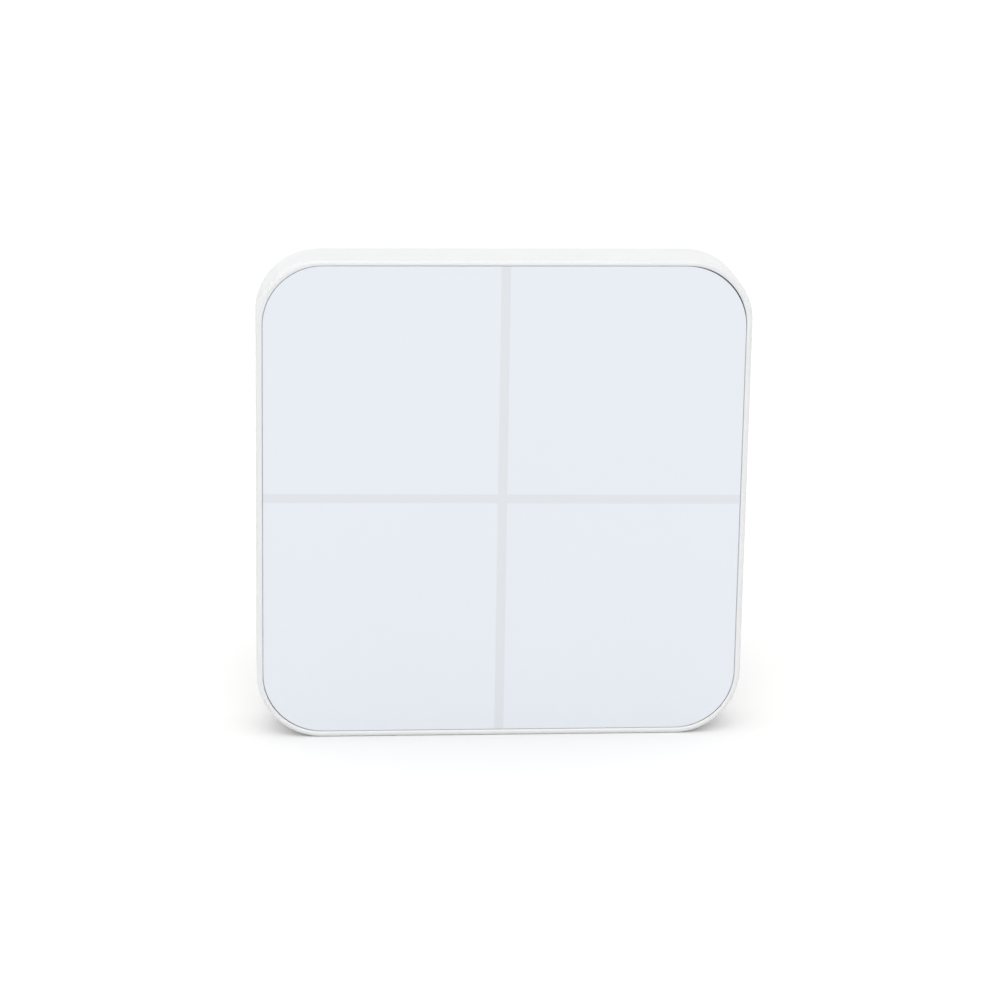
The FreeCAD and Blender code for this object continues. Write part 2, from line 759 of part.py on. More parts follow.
# Push switch on the board and the button in the rear cover that works it.
def make_action_button():
    body = new_body("switch_case")
    outline = new_sketch(body, "outline")
    rectangle(outline, s.switchWidth, s.switchWidth)
    pad(body, "block", outline, s.switchRise, reverse=True)
    bore = new_sketch(body, "bore", out=-s.switchRise)
    circles(bore, s.switchBore)
    pocket(body, "well", bore, s.switchRise - s.switchFloor, reverse=True)
    place(body, boardRear, ZERO, buttonZ)

    body = new_body("switch_cover")
    outline = new_sketch(body, "outline")
    rectangle(outline, s.switchWidth, s.switchWidth)
    circles(outline, s.plungerRadius + s.plungerGap)
    pad(body, "sheet", outline, s.switchCoverThickness, reverse=True)
    place(body, boardRear - s.switchRise, ZERO, buttonZ)

    body = new_body("switch_plunger")
    profile = new_sketch(body, "profile", "XY_Plane")
    shoulder = s.plungerFootThickness
    tip = shoulder + s.plungerFootGap + s.switchCoverThickness + s.plungerProud
    foot, post = s.plungerFootRadius, s.plungerRadius
    foot_half = [(ZERO, ZERO), (foot, ZERO), (foot, shoulder)]
    polygon(profile, foot_half + [(post, shoulder), (post, tip), (ZERO, tip)])
    revolve(body, "turned", profile)
    plunger_front = boardRear - s.switchRise + s.plungerFootGap + s.plungerFootThickness
    place(body, plunger_front, ZERO, buttonZ)

    body = new_body("action_button")
    profile = new_sketch(body, "profile", "XY_Plane")
    cap_face = coverRear + s.buttonSunk
    flange_rear = coverFront + s.flangeGap
    plunger_tip = boardRear - s.switchRise - s.switchCoverThickness - s.plungerProud
    tip = plunger_tip - s.stemGap - cap_face
    flange = flange_rear - cap_face
    top = flange + s.flangeThickness
    stem, wide, cap = s.stemRadius, s.flangeRadius, s.buttonRadius
    front_half = [(ZERO, -tip), (stem, -tip), (stem, -top), (wide, -top), (wide, -flange)]
    polygon(profile, front_half + [(cap, -flange), (cap, ZERO), (ZERO, ZERO)])
    turned = revolve(body, "turned", profile)
    bevel_edges(body, "cap_bevel", turned, "Y", ZERO, s.buttonEdge)
    place(body, cap_face, ZERO, buttonZ)


# Battery: pouch cell, its guard board, two short leads down to the plug, and the plug's socket.
def make_battery():
    flat_width = s.cellWidth - 2 * s.cellEdgeBevel
    flat_height = s.cellHeight - 2 * s.cellEdgeBevel
    box("battery_tape", flat_width, s.tapeThickness, flat_height, boardRear, ZERO, cellZ)
    body = new_body("battery_cell")
    outline = new_sketch(body, "outline")
    rectangle(outline, s.cellWidth, s.cellHeight)
    block = pad(body, "pouch", outline, s.cellThickness, reverse=True)
    rear = bevel_edges(body, "rear_bevel", block, "Y", s.cellThickness, s.cellEdgeBevel)
    bevel_edges(body, "front_bevel", rear, "Y", ZERO, s.cellEdgeBevel)
    place(body, cellFront, ZERO, cellZ)

    middle = (cellFront + cellRear) / 2
    guard_front = middle + s.guardThickness / 2
    guard_z = cellBottom - s.guardHeight / 2
    box("battery_guard_board", flat_width, s.guardThickness, s.guardHeight, guard_front, ZERO, guard_z)

    plug_x = flat_width / 2 - s.leadInset - s.leadPitch / 2
    plug_top = cellBottom - s.guardHeight - s.leadLength
    wires("battery_leads", "Z", s.leadRadius, s.leadLength, s.leadPitch, middle, plug_x, plug_top)
    plug_front = middle + s.plugRise / 2
    plug_z = plug_top - s.plugLength / 2
    box("battery_plug", s.plugWidth, s.plugRise, s.plugLength, plug_front, plug_x, plug_z)

    body = new_body("battery_socket")
    wall, gap = s.plugSocketWall, s.plugGap
    length = s.plugLength - s.plugProud + gap + wall
    rise = boardRear - middle + s.plugRise / 2 + gap + wall
    outline = new_sketch(body, "outline")
    rectangle(outline, s.plugWidth + 2 * (gap + wall), length)
    pad(body, "block", outline, rise, reverse=True)
    mouth = new_sketch(body, "mouth", "XY_Plane", y=boardRear - middle, out=length / 2)
    rectangle(mouth, s.plugWidth + 2 * gap, s.plugRise + 2 * gap)
    pocket(body, "plug_well", mouth, length - wall)
    place(body, boardRear, plug_x, plug_top - s.plugProud - length / 2)


# Coin vibration motor: case and base closed round a fixed shaft, with an off-centre rotor on it.
def make_motor():
    inner = s.motorRadius - s.motorSheet
    rise, roof = s.motorRise, s.motorRise - s.motorSheet
    body = new_body("motor_case")
    profile = new_sketch(body, "profile", "XY_Plane")
    outer_half = [(inner, ZERO), (s.motorRadius, ZERO), (s.motorRadius, rise), (ZERO, rise)]
    polygon(profile, outer_half + [(ZERO, roof), (inner, roof)])
    turned = revolve(body, "turned", profile)
    bevel_edges(body, "roof_bevel", turned, "Y", rise, s.motorSheet)
    place(body, boardRear, motorX)

    disc("motor_base", inner, s.motorBaseThickness, boardRear, motorX, ZERO)
    shaft_front = boardRear - s.motorBaseThickness
    disc("motor_shaft", s.shaftRadius, roof - s.motorBaseThickness, shaft_front, motorX, ZERO)

    body = new_body("motor_rotor")
    weight = new_sketch(body, "weight")
    radius = s.rotorRadius
    curve = add_arc(weight, (0, 0), radius.number, 180, 360)
    chord = add_line(weight, (radius.number, 0), (-radius.number, 0))
    tie(weight, "Coincident", curve, 2, chord, 1)
    tie(weight, "Coincident", chord, 2, curve, 1)
    tie(weight, "Coincident", curve, 3, -1, 1)
    tie(weight, "PointOnObject", chord, 1, -1)
    tie(weight, "PointOnObject", chord, 2, -1)
    drive(weight, "Radius", (curve,), radius)
    pad(body, "half_disc", weight, s.rotorThickness, reverse=True)
    hub = new_sketch(body, "hub")
    circles(hub, s.hubRadius)
    pad(body, "hub_disc", hub, s.rotorThickness, reverse=True)
    bore = new_sketch(body, "bore")
    circles(bore, s.shaftRadius + s.shaftGap)
    pocket(body, "shaft_bore", bore, s.rotorThickness)
    place(body, boardRear - s.rotorLift, motorX)

    lead_start = motorX - s.motorRadius - s.motorLeadLength
    lead_height = boardRear - s.motorLeadRadius
    radius, length, pitch = s.motorLeadRadius, s.motorLeadLength, s.motorLeadPitch
    wires("motor_leads", "X", radius, length, pitch, lead_height, lead_start, ZERO)


# Rear cover: flat panel inside the frame's rear edge, with magnet cups, battery fences,
# the button's hole and four sunk screw holes.
def make_rear_cover():
    body = new_body("rear_cover")
    outline = new_sketch(body, "outline")
    gap = 2 * s.coverGap
    rounded_rectangle(outline, cavityWidth - gap, cavityHeight - gap, cavityCorner - s.coverGap)
    block = pad(body, "panel", outline, s.coverThickness)
    bevel_edges(body, "rear_bevel", block, "Y", ZERO, s.coverEdge)

    magnets = corners_at(magnetX, magnetZ)
    well = s.magnetWidth + 2 * s.magnetGap
    cup = well + 2 * s.cupWall
    cups = new_sketch(body, "cups", out=s.coverThickness)
    wells = new_sketch(body, "wells", out=s.coverThickness + s.cupRise)
    for x, z in magnets:
        rectangle(cups, cup, cup, x, z)
        rectangle(wells, well, well, x, z)
    pad(body, "magnet_cups", cups, s.cupRise)
    pocket(body, "magnet_wells", wells, s.coverThickness + s.cupRise - s.magnetFloor)

    fences = new_sketch(body, "fences", out=s.coverThickness)
    side = s.cellWidth / 2 + s.fenceGap + s.fenceWidth / 2
    for x in (side, -side):
        rectangle(fences, s.fenceWidth, s.fenceLength, x, cellZ - s.fenceDrop)
    top = cellZ + s.cellHeight / 2 + s.fenceGap + s.fenceWidth / 2
    rectangle(fences, s.fenceLength, s.fenceWidth, ZERO, top)
    pad(body, "battery_fences", fences, cellRear + s.fenceOverlap - coverFront)

    hole = new_sketch(body, "button_hole", y=buttonZ, out=s.coverThickness)
    circles(hole, s.buttonRadius + s.buttonGap)
    pocket(body, "button_opening", hole, s.coverThickness)
    holes = new_sketch(body, "screw_holes")
    circles(holes, s.screwRadius + s.screwGap, corners_at(bossX, bossZ))
    doc.recompute()
    sunk = body.newObject("PartDesign::Hole", "rear_cover_screw_seats")
    sunk.Profile = holes
    sunk.Reversed = True
    sunk.DepthType = "ThroughAll"
    sunk.HoleCutType = "Countersink"
    sunk.HoleCutCountersinkAngle = 90
    sunk.setExpression("Diameter", (2 * (s.screwRadius + s.screwGap)).text)
    sunk.setExpression("HoleCutDiameter", (2 * (s.screwHeadRadius + s.screwHeadGap)).text)
    place(body, coverRear)

    magnet_front = coverRear + s.magnetFloor + s.magnetThickness
    group("magnets", [
        box(f"magnet_{count}", s.magnetWidth, s.magnetThickness, s.magnetWidth, magnet_front, x, z)
        for count, (x, z) in enumerate(magnets)
    ])


# Cover screws: flat heads sunk in the rear cover, shanks in the frame's bosses.
def make_cover_screws():
    tip = coverRear + s.screwHeadSunk + s.screwLength
    small, large = s.screwRadius, s.screwHeadRadius
    head_rise = large - small
    shank = s.screwLength - head_rise
    screws = []
    for count, (x, z) in enumerate(corners_at(bossX, bossZ)):
        screw = doc.addObject("Part::Fuse", f"cover_screw_{count}")
        screw.Base = disc(f"shank_{count}", small, shank, tip, x, z)
        screw.Tool = cone(f"head_{count}", small, large, head_rise, tip - shank, x, z)
        screws.append(screw)
    group("cover_screws", screws)


# Wall plate: flat moulding with four steel keeper discs facing the magnets, and slotted screw
# holes across and up and down, with recesses for the screws' heads.
def make_wall_plate():
    body = new_body("wall_plate")
    outline = new_sketch(body, "outline")
    rounded_rectangle(outline, plateWidth, plateHeight, cavityCorner - s.plateMargin)
    block = pad(body, "panel", outline, s.plateThickness)
    front = bevel_edges(body, "front_bevel", block, "Y", -s.plateThickness, s.plateFrontEdge)
    bevel_edges(body, "rear_bevel", front, "Y", ZERO, s.plateRearEdge)
    keepers = corners_at(magnetX, magnetZ)
    wells = new_sketch(body, "wells", out=s.plateThickness)
    circles(wells, s.keeperRadius + s.keeperGap, keepers)
    pocket(body, "keeper_wells", wells, s.keeperThickness)
    across = plateWidth / 2 - s.slotInset
    upright = plateHeight / 2 - s.slotInset
    slots = [(sign * across, ZERO, False) for sign in (1, -1)]
    slots += [(ZERO, sign * upright, True) for sign in (1, -1)]
    holes = new_sketch(body, "slots", out=s.plateThickness)
    recesses = new_sketch(body, "recesses", out=s.plateThickness)
    recess_length = s.slotLength + s.headRecessWidth - s.slotWidth
    for x, z, turned in slots:
        slot(holes, s.slotLength, s.slotWidth, x, z, turned)
        slot(recesses, recess_length, s.headRecessWidth, x, z, turned)
    pocket(body, "screw_slots", holes, s.plateThickness)
    pocket(body, "head_recesses", recesses, s.headRecessDepth)
    place(body, ZERO)

    group("keeper_discs", [
        disc(f"keeper_{count}", s.keeperRadius, s.keeperThickness, plateFront, x, z)
        for count, (x, z) in enumerate(keepers)
    ])


make_front_frame()
make_touch_panel()
make_circuit_board()
make_board_parts()
make_radio_module()
make_charging_socket()
make_action_button()
make_battery()
make_motor()
make_rear_cover()
make_cover_screws()
make_wall_plate()
doc.recompute()

NODES = [
    "front_frame", "cover_glass", "panel_tape", "sensor_adhesive", "sensor_electrodes",
    "circuit_board", "status_led", "touch_chip", "charge_chip", "board_parts", "radio_board",
    "radio_chip", "radio_shield", "radio_antenna", "charge_socket_shell", "charge_socket_tongue",
    "charge_socket_contacts", "switch_case", "switch_cover", "switch_plunger", "action_button",
    "battery_tape", "battery_cell", "battery_guard_board", "battery_leads", "battery_plug",
    "battery_socket", "motor_case", "motor_base", "motor_shaft", "motor_rotor", "motor_leads",
    "magnets", "rear_cover", "cover_screws", "wall_plate", "keeper_discs",
]

for item in doc.Objects:
    if "Invalid" in item.State or "Error" in item.State:
        raise RuntimeError(f"{item.Label} did not recompute: {item.State}")

nodes = {name: doc.getObjectsByLabel(name)[0] for name in NODES}
for name, item in nodes.items():
    if item.Shape.isNull() or not item.Shape.isValid() or not item.Shape.Solids:
        raise RuntimeError(f"{name} has no valid solid")

os.makedirs("parts", exist_ok=True)
for name, item in nodes.items():
    item.Shape.exportStep(f"parts/{name}.step")
    print(f"{name}: {len(item.Shape.Solids)} solids, {item.Shape.Volume:.1f} mm3")
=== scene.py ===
import math

import bmesh
import bpy
from mathutils import Matrix, Vector


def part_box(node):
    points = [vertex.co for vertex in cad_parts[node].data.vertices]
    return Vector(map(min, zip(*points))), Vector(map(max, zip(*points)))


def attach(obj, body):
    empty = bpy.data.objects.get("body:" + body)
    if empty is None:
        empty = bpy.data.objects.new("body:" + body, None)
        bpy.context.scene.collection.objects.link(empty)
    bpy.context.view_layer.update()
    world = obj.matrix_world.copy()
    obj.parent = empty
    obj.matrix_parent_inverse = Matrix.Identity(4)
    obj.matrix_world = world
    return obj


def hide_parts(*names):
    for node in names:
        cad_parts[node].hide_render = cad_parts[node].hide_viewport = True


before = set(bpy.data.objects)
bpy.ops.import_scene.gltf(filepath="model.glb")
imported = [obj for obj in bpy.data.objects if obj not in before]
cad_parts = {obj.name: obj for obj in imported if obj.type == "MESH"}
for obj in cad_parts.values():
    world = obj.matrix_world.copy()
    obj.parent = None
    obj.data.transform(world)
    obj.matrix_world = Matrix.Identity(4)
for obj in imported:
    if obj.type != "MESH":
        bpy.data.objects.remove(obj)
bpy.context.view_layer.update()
mm = 0.001
inward, upward = 1, 2  # the axes Y, into the wall, and Z, up
tiny = 1e-7  # metres; points nearer than this share one place
overshoot = 1 * mm  # how far a cutting shape reaches past the surface that it cuts
sharpAngle = 32  # degrees; an edge that turns by more than this stays sharp
frameLow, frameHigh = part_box("front_frame")
glassLow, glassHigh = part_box("cover_glass")
coverLow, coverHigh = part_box("rear_cover")
plateLow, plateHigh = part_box("wall_plate")
print("frame loaded with", len(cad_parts), "nodes")


# Shapes

def grownBox(low, high, amount):
    # the same box with its sides moved out, or in where the amount is below zero
    step = Vector(amount)
    return low - step, high + step


def addCube(bm, low, high, along):
    # a plain block; gives back its four edges along one axis
    size = high - low
    made = bmesh.ops.create_cube(bm, size=1, matrix=Matrix.LocRotScale((low + high) / 2, None, size))
    corners = set(made["verts"])
    return [
        edge for edge in bm.edges
        if corners.issuperset(edge.verts)
        and abs(edge.verts[0].co[along] - edge.verts[1].co[along]) > size[along] / 2
    ]


def addBlock(bm, low, high, radius=0.0, segments=1, along=inward):
    # a block whose four edges along one axis are rounded; one segment makes a straight cut
    edges = addCube(bm, low, high, along)
    if radius:
        roundEdges(bm, edges, radius, segments)


def addRod(bm, x, z, front, rear, radius, rearRadius=None, segments=40):
    # a round bar along Y, or a cone where the rear radius differs
    turn = Matrix.Rotation(math.radians(-90), 4, "X")
    place = Matrix.Translation((x, (front + rear) / 2, z)) @ turn
    bmesh.ops.create_cone(
        bm, cap_ends=True, segments=segments, radius1=radius,
        radius2=radius if rearRadius is None else rearRadius, depth=rear - front, matrix=place,
    )


def roundEdges(bm, edges, radius, segments):
    bmesh.ops.bevel(
        bm, geom=edges, offset=radius, offset_type="OFFSET", segments=segments,
        profile=0.5, affect="EDGES", material=-1, clamp_overlap=True,
    )


def edgesAt(bm, level):
    # every edge that lies flat at one depth
    return [edge for edge in bm.edges if all(abs(v.co.y - level) < tiny for v in edge.verts)]


def fourPlaces(x, z):
    # one place in each quarter of the face, from the top right, anticlockwise
    return [(x, z), (-x, z), (-x, -z), (x, -z)]


def roundCorners(bm, radii, segments):
    # a radius for each of a block's four edges along Y, in the order of fourPlaces
    for radius, (x, z) in zip(radii, fourPlaces(1, 1)):
        corner = [edge for edge in bm.edges if all(v.co.x * x > 0 and v.co.z * z > 0 for v in edge.verts)]
        roundEdges(bm, corner, radius, segments)


def turnedShape(profile, x, z, segments=56):
    # a profile of (radius, y) points spun round an axis along Y
    bm = bmesh.new()
    verts = [bm.verts.new((radius, y, 0)) for radius, y in profile]
    edges = [bm.edges.new(pair) for pair in zip(verts, verts[1:])]
    bmesh.ops.spin(
        bm, geom=verts + edges, cent=(0, 0, 0), axis=(0, 1, 0), angle=math.tau,
        steps=segments, use_merge=True, use_duplicate=False,
    )
    bmesh.ops.remove_doubles(bm, verts=bm.verts, dist=tiny)
    bmesh.ops.recalc_face_normals(bm, faces=bm.faces)
    bmesh.ops.translate(bm, verts=bm.verts, vec=(x, 0, z))
    return bm


def makeObject(name, bm):
    mesh = bpy.data.meshes.new(name)
    bm.to_mesh(mesh)
    bm.free()
    thing = bpy.data.objects.new(name, mesh)
    bpy.context.scene.collection.objects.link(thing)
    return thing


def combine(piece, toolMesh, operation):
    # joins a helper shape to the piece, or cuts it out, and keeps only the result
    tool = makeObject("tool", toolMesh)
    step = piece.modifiers.new("combine", "BOOLEAN")
    step.operation = operation
    step.solver = "EXACT"
    step.object = tool
    bpy.context.view_layer.update()
    before = piece.data
    done = bpy.data.meshes.new_from_object(piece.evaluated_get(bpy.context.evaluated_depsgraph_get()))
    piece.modifiers.clear()
    piece.data = done
    done.name = piece.name
    bpy.data.meshes.remove(before)
    bpy.data.objects.remove(tool)


def finishPiece(piece, material, body, nodes):
    # smooth shading that stays flat on flat faces, then material, the node it stands for and its body
    piece.data.shade_smooth()
    piece.data.set_sharp_from_angle(angle=math.radians(sharpAngle))
    normals = piece.modifiers.new("evenNormals", "WEIGHTED_NORMAL")
    normals.keep_sharp = True
    piece.data.materials.clear()
    piece.data.materials.append(material)
    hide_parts(*nodes)
    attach(piece, body)
    print("made", piece.name)


# Materials

def newGroup(name, inputs, outputs):
    group = bpy.data.node_groups.new(name, "ShaderNodeTree")
    for label, kind, value in inputs:
        socket = group.interface.new_socket(label, in_out="INPUT", socket_type=kind)
        socket.default_value = value
    for label, kind in outputs:
        group.interface.new_socket(label, in_out="OUTPUT", socket_type=kind)
    return group, group.nodes.new("NodeGroupInput"), group.nodes.new("NodeGroupOutput")


def addNode(tree, kind, settings=(), values=()):
    node = tree.nodes.new(kind)
    for key, value in dict(settings).items():
        setattr(node, key, value)
    for key, value in dict(values).items():
        node.inputs[key].default_value = value
    return node


def makeVariation():
    # slow clouds of tone: two colours and two roughness values mixed over the surface
    colour, number = "NodeSocketColor", "NodeSocketFloat"
    group, start, end = newGroup(
        "slowVariation",
        [("Scale", number, 60.0), ("Light", colour, (0.8, 0.8, 0.8, 1)), ("Dark", colour, (0.7, 0.7, 0.7, 1)),
         ("Smooth", number, 0.3), ("Rough", number, 0.5)],
        [("Color", colour), ("Roughness", number)],
    )
    place = addNode(group, "ShaderNodeTexCoord")
    noise = addNode(group, "ShaderNodeTexNoise", values={"Detail": 4.0, "Roughness": 0.55})
    spread = addNode(group, "ShaderNodeMapRange", values={"From Min": 0.3, "From Max": 0.7})
    tint = addNode(group, "ShaderNodeMix", {"data_type": "RGBA"})
    rough = addNode(group, "ShaderNodeMapRange")
    link = group.links.new
    link(place.outputs["Object"], noise.inputs["Vector"])
    link(start.outputs["Scale"], noise.inputs["Scale"])
    link(noise.outputs["Fac"], spread.inputs["Value"])
    link(spread.outputs["Result"], tint.inputs["Factor"])
    link(start.outputs["Light"], tint.inputs["A"])
    link(start.outputs["Dark"], tint.inputs["B"])
    link(spread.outputs["Result"], rough.inputs["Value"])
    link(start.outputs["Smooth"], rough.inputs["To Min"])
    link(start.outputs["Rough"], rough.inputs["To Max"])
    link(tint.outputs["Result"], end.inputs["Color"])
    link(rough.outputs["Result"], end.inputs["Roughness"])
    return group


def makeGrain():
    # fine relief of a moulded, cast or rolled surface; Stretch draws it out along Z
    number = "NodeSocketFloat"
    group, start, end = newGroup(
        "fineGrain", [("Scale", number, 5000.0), ("Stretch", number, 1.0)], [("Height", number)],
    )
    place = addNode(group, "ShaderNodeTexCoord")
    shape = addNode(group, "ShaderNodeCombineXYZ", values={"X": 1.0, "Y": 1.0})
    scaled = addNode(group, "ShaderNodeVectorMath", {"operation": "MULTIPLY"})
    noise = addNode(group, "ShaderNodeTexNoise", values={"Detail": 3.0, "Roughness": 0.6})
    link = group.links.new
    link(start.outputs["Stretch"], shape.inputs["Z"])
    link(place.outputs["Object"], scaled.inputs[0])
    link(shape.outputs["Vector"], scaled.inputs[1])
    link(scaled.outputs["Vector"], noise.inputs["Vector"])
    link(start.outputs["Scale"], noise.inputs["Scale"])
    link(noise.outputs["Fac"], end.inputs["Height"])
    return group


variationGroup = makeVariation()
grainGroup = makeGrain()


def shaded(colour, share):
    return tuple(channel * share for channel in colour) + (1,)


def newMaterial(name):
    material = bpy.data.materials.new(name)
    material.use_nodes = True
    return material, material.node_tree, material.node_tree.nodes["Principled BSDF"]


# what a look has where it names no value of its own
plainLook = {"cloudScale": 80.0, "darkShare": 0.97, "grainScale": 5000.0, "stretch": 1.0,
             "grainStrength": 0.2, "grainDepth": 0.01 * mm, "shader": {}}


def makeMaterial(name, look):
    # one finish: tone variation, roughness variation and a fine relief, all on Object coordinates
    look = {**plainLook, **look}
    material, tree, shader = newMaterial(name)
    variation = addNode(tree, "ShaderNodeGroup", {"node_tree": variationGroup}, {
        "Scale": look["cloudScale"],
        "Light": shaded(look["colour"], 1.0),
        "Dark": shaded(look["colour"], look["darkShare"]),
        "Smooth": look["smooth"],
        "Rough": look["rough"],
    })
    grain = addNode(tree, "ShaderNodeGroup", {"node_tree": grainGroup}, {
        "Scale": look["grainScale"],
        "Stretch": look["stretch"],
    })
    bump = addNode(tree, "ShaderNodeBump", values={
        "Strength": look["grainStrength"],
        "Distance": look["grainDepth"],
    })
    link = tree.links.new
    link(variation.outputs["Color"], shader.inputs["Base Color"])
    link(variation.outputs["Roughness"], shader.inputs["Roughness"])
    link(grain.outputs["Height"], bump.inputs["Height"])
    link(bump.outputs["Normal"], shader.inputs["Normal"])
    for label, value in look["shader"].items():
        shader.inputs[label].default_value = value
    return material


metal = {"Metallic": 1.0}
looks = {
    "satinWhite": {"colour": (0.540, 0.544, 0.548), "smooth": 0.38, "rough": 0.46, "darkShare": 0.985,
                   "grainScale": 7000.0, "grainStrength": 0.12, "grainDepth": 0.006 * mm,
                   "shader": {"Subsurface Weight": 1.0, "Subsurface Radius": (1, 1, 1),
                              "Subsurface Scale": 0.3 * mm}},
    "satinGrey": {"colour": (0.50, 0.51, 0.53), "smooth": 0.36, "rough": 0.46, "darkShare": 0.97,
                  "grainScale": 7000.0, "grainStrength": 0.15},
    "clearAdhesive": {"colour": (0.68, 0.68, 0.64), "smooth": 0.45, "rough": 0.65, "darkShare": 0.92},
    "matteBlack": {"colour": (0.022, 0.022, 0.024), "smooth": 0.42, "rough": 0.6, "darkShare": 0.75,
                   "grainScale": 12000.0, "grainStrength": 0.35},
    "creamPlastic": {"colour": (0.72, 0.68, 0.58), "smooth": 0.35, "rough": 0.5, "darkShare": 0.94},
    "ledLens": {"colour": (0.82, 0.80, 0.66), "smooth": 0.1, "rough": 0.2, "darkShare": 0.9,
                "shader": {"Transmission Weight": 0.35}},
    "goldPlate": {"colour": (0.83, 0.58, 0.28), "smooth": 0.18, "rough": 0.34, "darkShare": 0.9,
                  "shader": metal},
    "pressedSteel": {"colour": (0.62, 0.62, 0.63), "smooth": 0.22, "rough": 0.36, "darkShare": 0.9,
                     "grainScale": 2500.0, "stretch": 0.08, "grainStrength": 0.3, "shader": metal},
    "zincSteel": {"colour": (0.58, 0.59, 0.61), "smooth": 0.25, "rough": 0.42, "darkShare": 0.86,
                  "cloudScale": 300.0, "grainScale": 6000.0, "grainStrength": 0.3, "shader": metal},
    "sinteredMetal": {"colour": (0.30, 0.30, 0.31), "smooth": 0.45, "rough": 0.62, "darkShare": 0.8,
                      "cloudScale": 900.0, "grainScale": 9000.0, "grainStrength": 0.6, "shader": metal},
    "nickelPlate": {"colour": (0.66, 0.64, 0.60), "smooth": 0.12, "rough": 0.24, "darkShare": 0.93,
                    "shader": metal},
    "pouchFoil": {"colour": (0.62, 0.63, 0.65), "smooth": 0.25, "rough": 0.45, "darkShare": 0.88,
                  "grainScale": 500.0, "grainStrength": 0.6, "grainDepth": 0.03 * mm, "shader": metal},
}
materials = {name: makeMaterial(name, look) for name, look in looks.items()}


# Glass panel finish: a glossy face in the pale cool tone of the back paint, with a pale grey cross
panelPrint = {
    "paint": (0.490, 0.515, 0.551, 1),
    "cross": (0.455, 0.474, 0.495, 1),
    "lineWidth": 1.42 * mm,
    "edgeBlur": 0.12 * mm,
    "uprightX": -0.05 * mm,
    "levelZ": 0.5 * mm,
    "levelTilt": -0.42,  # degrees, down to the right
    "cloudScale": 25.0,
    "darkShare": 0.992,
    "smooth": 0.03,
    "rough": 0.06,
    "refraction": 1.5,
}


def lineMask(tree, axisLabel, middle, tilt):
    # 1 on a straight printed line, 0 beside it, with a soft edge
    half, blur = panelPrint["lineWidth"] / 2, panelPrint["edgeBlur"] / 2
    place = addNode(tree, "ShaderNodeTexCoord")
    shift = addNode(tree, "ShaderNodeMapping", {"vector_type": "TEXTURE"}, {
        "Location": middle, "Rotation": (0, math.radians(-tilt), 0),
    })
    split = addNode(tree, "ShaderNodeSeparateXYZ")
    size = addNode(tree, "ShaderNodeMath", {"operation": "ABSOLUTE"})
    edge = addNode(tree, "ShaderNodeMapRange", {"interpolation_type": "SMOOTHSTEP"}, {
        "From Min": half - blur, "From Max": half + blur, "To Min": 1.0, "To Max": 0.0,
    })
    link = tree.links.new
    link(place.outputs["Object"], shift.inputs["Vector"])
    link(shift.outputs["Vector"], split.inputs["Vector"])
    link(split.outputs[axisLabel], size.inputs[0])
    link(size.outputs["Value"], edge.inputs["Value"])
    return edge.outputs["Result"]


def makePanelGlass():
    p = panelPrint
    material, tree, shader = newMaterial("paintedGlass")
    upright = lineMask(tree, "X", (p["uprightX"], 0, 0), 0)
    level = lineMask(tree, "Z", (0, 0, p["levelZ"]), p["levelTilt"])
    either = addNode(tree, "ShaderNodeMath", {"operation": "MAXIMUM"})
    variation = addNode(tree, "ShaderNodeGroup", {"node_tree": variationGroup}, {
        "Scale": p["cloudScale"], "Light": p["paint"], "Dark": shaded(p["paint"][:3], p["darkShare"]),
        "Smooth": p["smooth"], "Rough": p["rough"],
    })
    tint = addNode(tree, "ShaderNodeMix", {"data_type": "RGBA"}, {"B": p["cross"]})
    link = tree.links.new
    link(upright, either.inputs[0])
    link(level, either.inputs[1])
    link(either.outputs["Value"], tint.inputs["Factor"])
    link(variation.outputs["Color"], tint.inputs["A"])
    link(tint.outputs["Result"], shader.inputs["Base Color"])
    link(variation.outputs["Roughness"], shader.inputs["Roughness"])
    shader.inputs["IOR"].default_value = p["refraction"]
    return material


materials["paintedGlass"] = makePanelGlass()


# Circuit board finish: green solder mask with paler tracks in a brick pattern
boardPrint = {
    "maskLight": (0.012, 0.13, 0.06, 1),
    "maskDark": (0.010, 0.11, 0.052, 1),
    "track": (0.03, 0.22, 0.10, 1),
    "trackScale": 140.0,
    "trackWidth": 0.035,
    "trackBlur": 0.2,
    "rowShift": 0.37,  # a share of one brick
    "squashedWidth": 0.6,  # of every third row
    "squashedRow": 3,
    "cloudScale": 120.0,
    "smooth": 0.22,
    "rough": 0.36,
    "reliefStrength": 0.5,
    "reliefDepth": 0.03 * mm,
}


def makeBoardMask():
    p = boardPrint
    material, tree, shader = newMaterial("solderMask")
    place = addNode(tree, "ShaderNodeTexCoord")
    turn = addNode(tree, "ShaderNodeMapping", values={"Rotation": (math.radians(90), 0, 0)})
    tracks = addNode(tree, "ShaderNodeTexBrick", {
        "offset": p["rowShift"], "squash": p["squashedWidth"], "squash_frequency": p["squashedRow"],
    }, {
        "Scale": p["trackScale"], "Mortar Size": p["trackWidth"], "Mortar Smooth": p["trackBlur"],
        "Color1": p["maskLight"], "Color2": p["maskDark"], "Mortar": p["track"],
    })
    variation = addNode(tree, "ShaderNodeGroup", {"node_tree": variationGroup}, {
        "Scale": p["cloudScale"], "Smooth": p["smooth"], "Rough": p["rough"],
    })
    bump = addNode(tree, "ShaderNodeBump", {"invert": True}, {
        "Strength": p["reliefStrength"], "Distance": p["reliefDepth"],
    })
    link = tree.links.new
    link(place.outputs["Object"], turn.inputs["Vector"])
    link(turn.outputs["Vector"], tracks.inputs["Vector"])
    link(tracks.outputs["Color"], shader.inputs["Base Color"])
    link(variation.outputs["Roughness"], shader.inputs["Roughness"])
    link(tracks.outputs["Fac"], bump.inputs["Height"])
    link(bump.outputs["Normal"], shader.inputs["Normal"])
    return material


materials["solderMask"] = makeBoardMask()


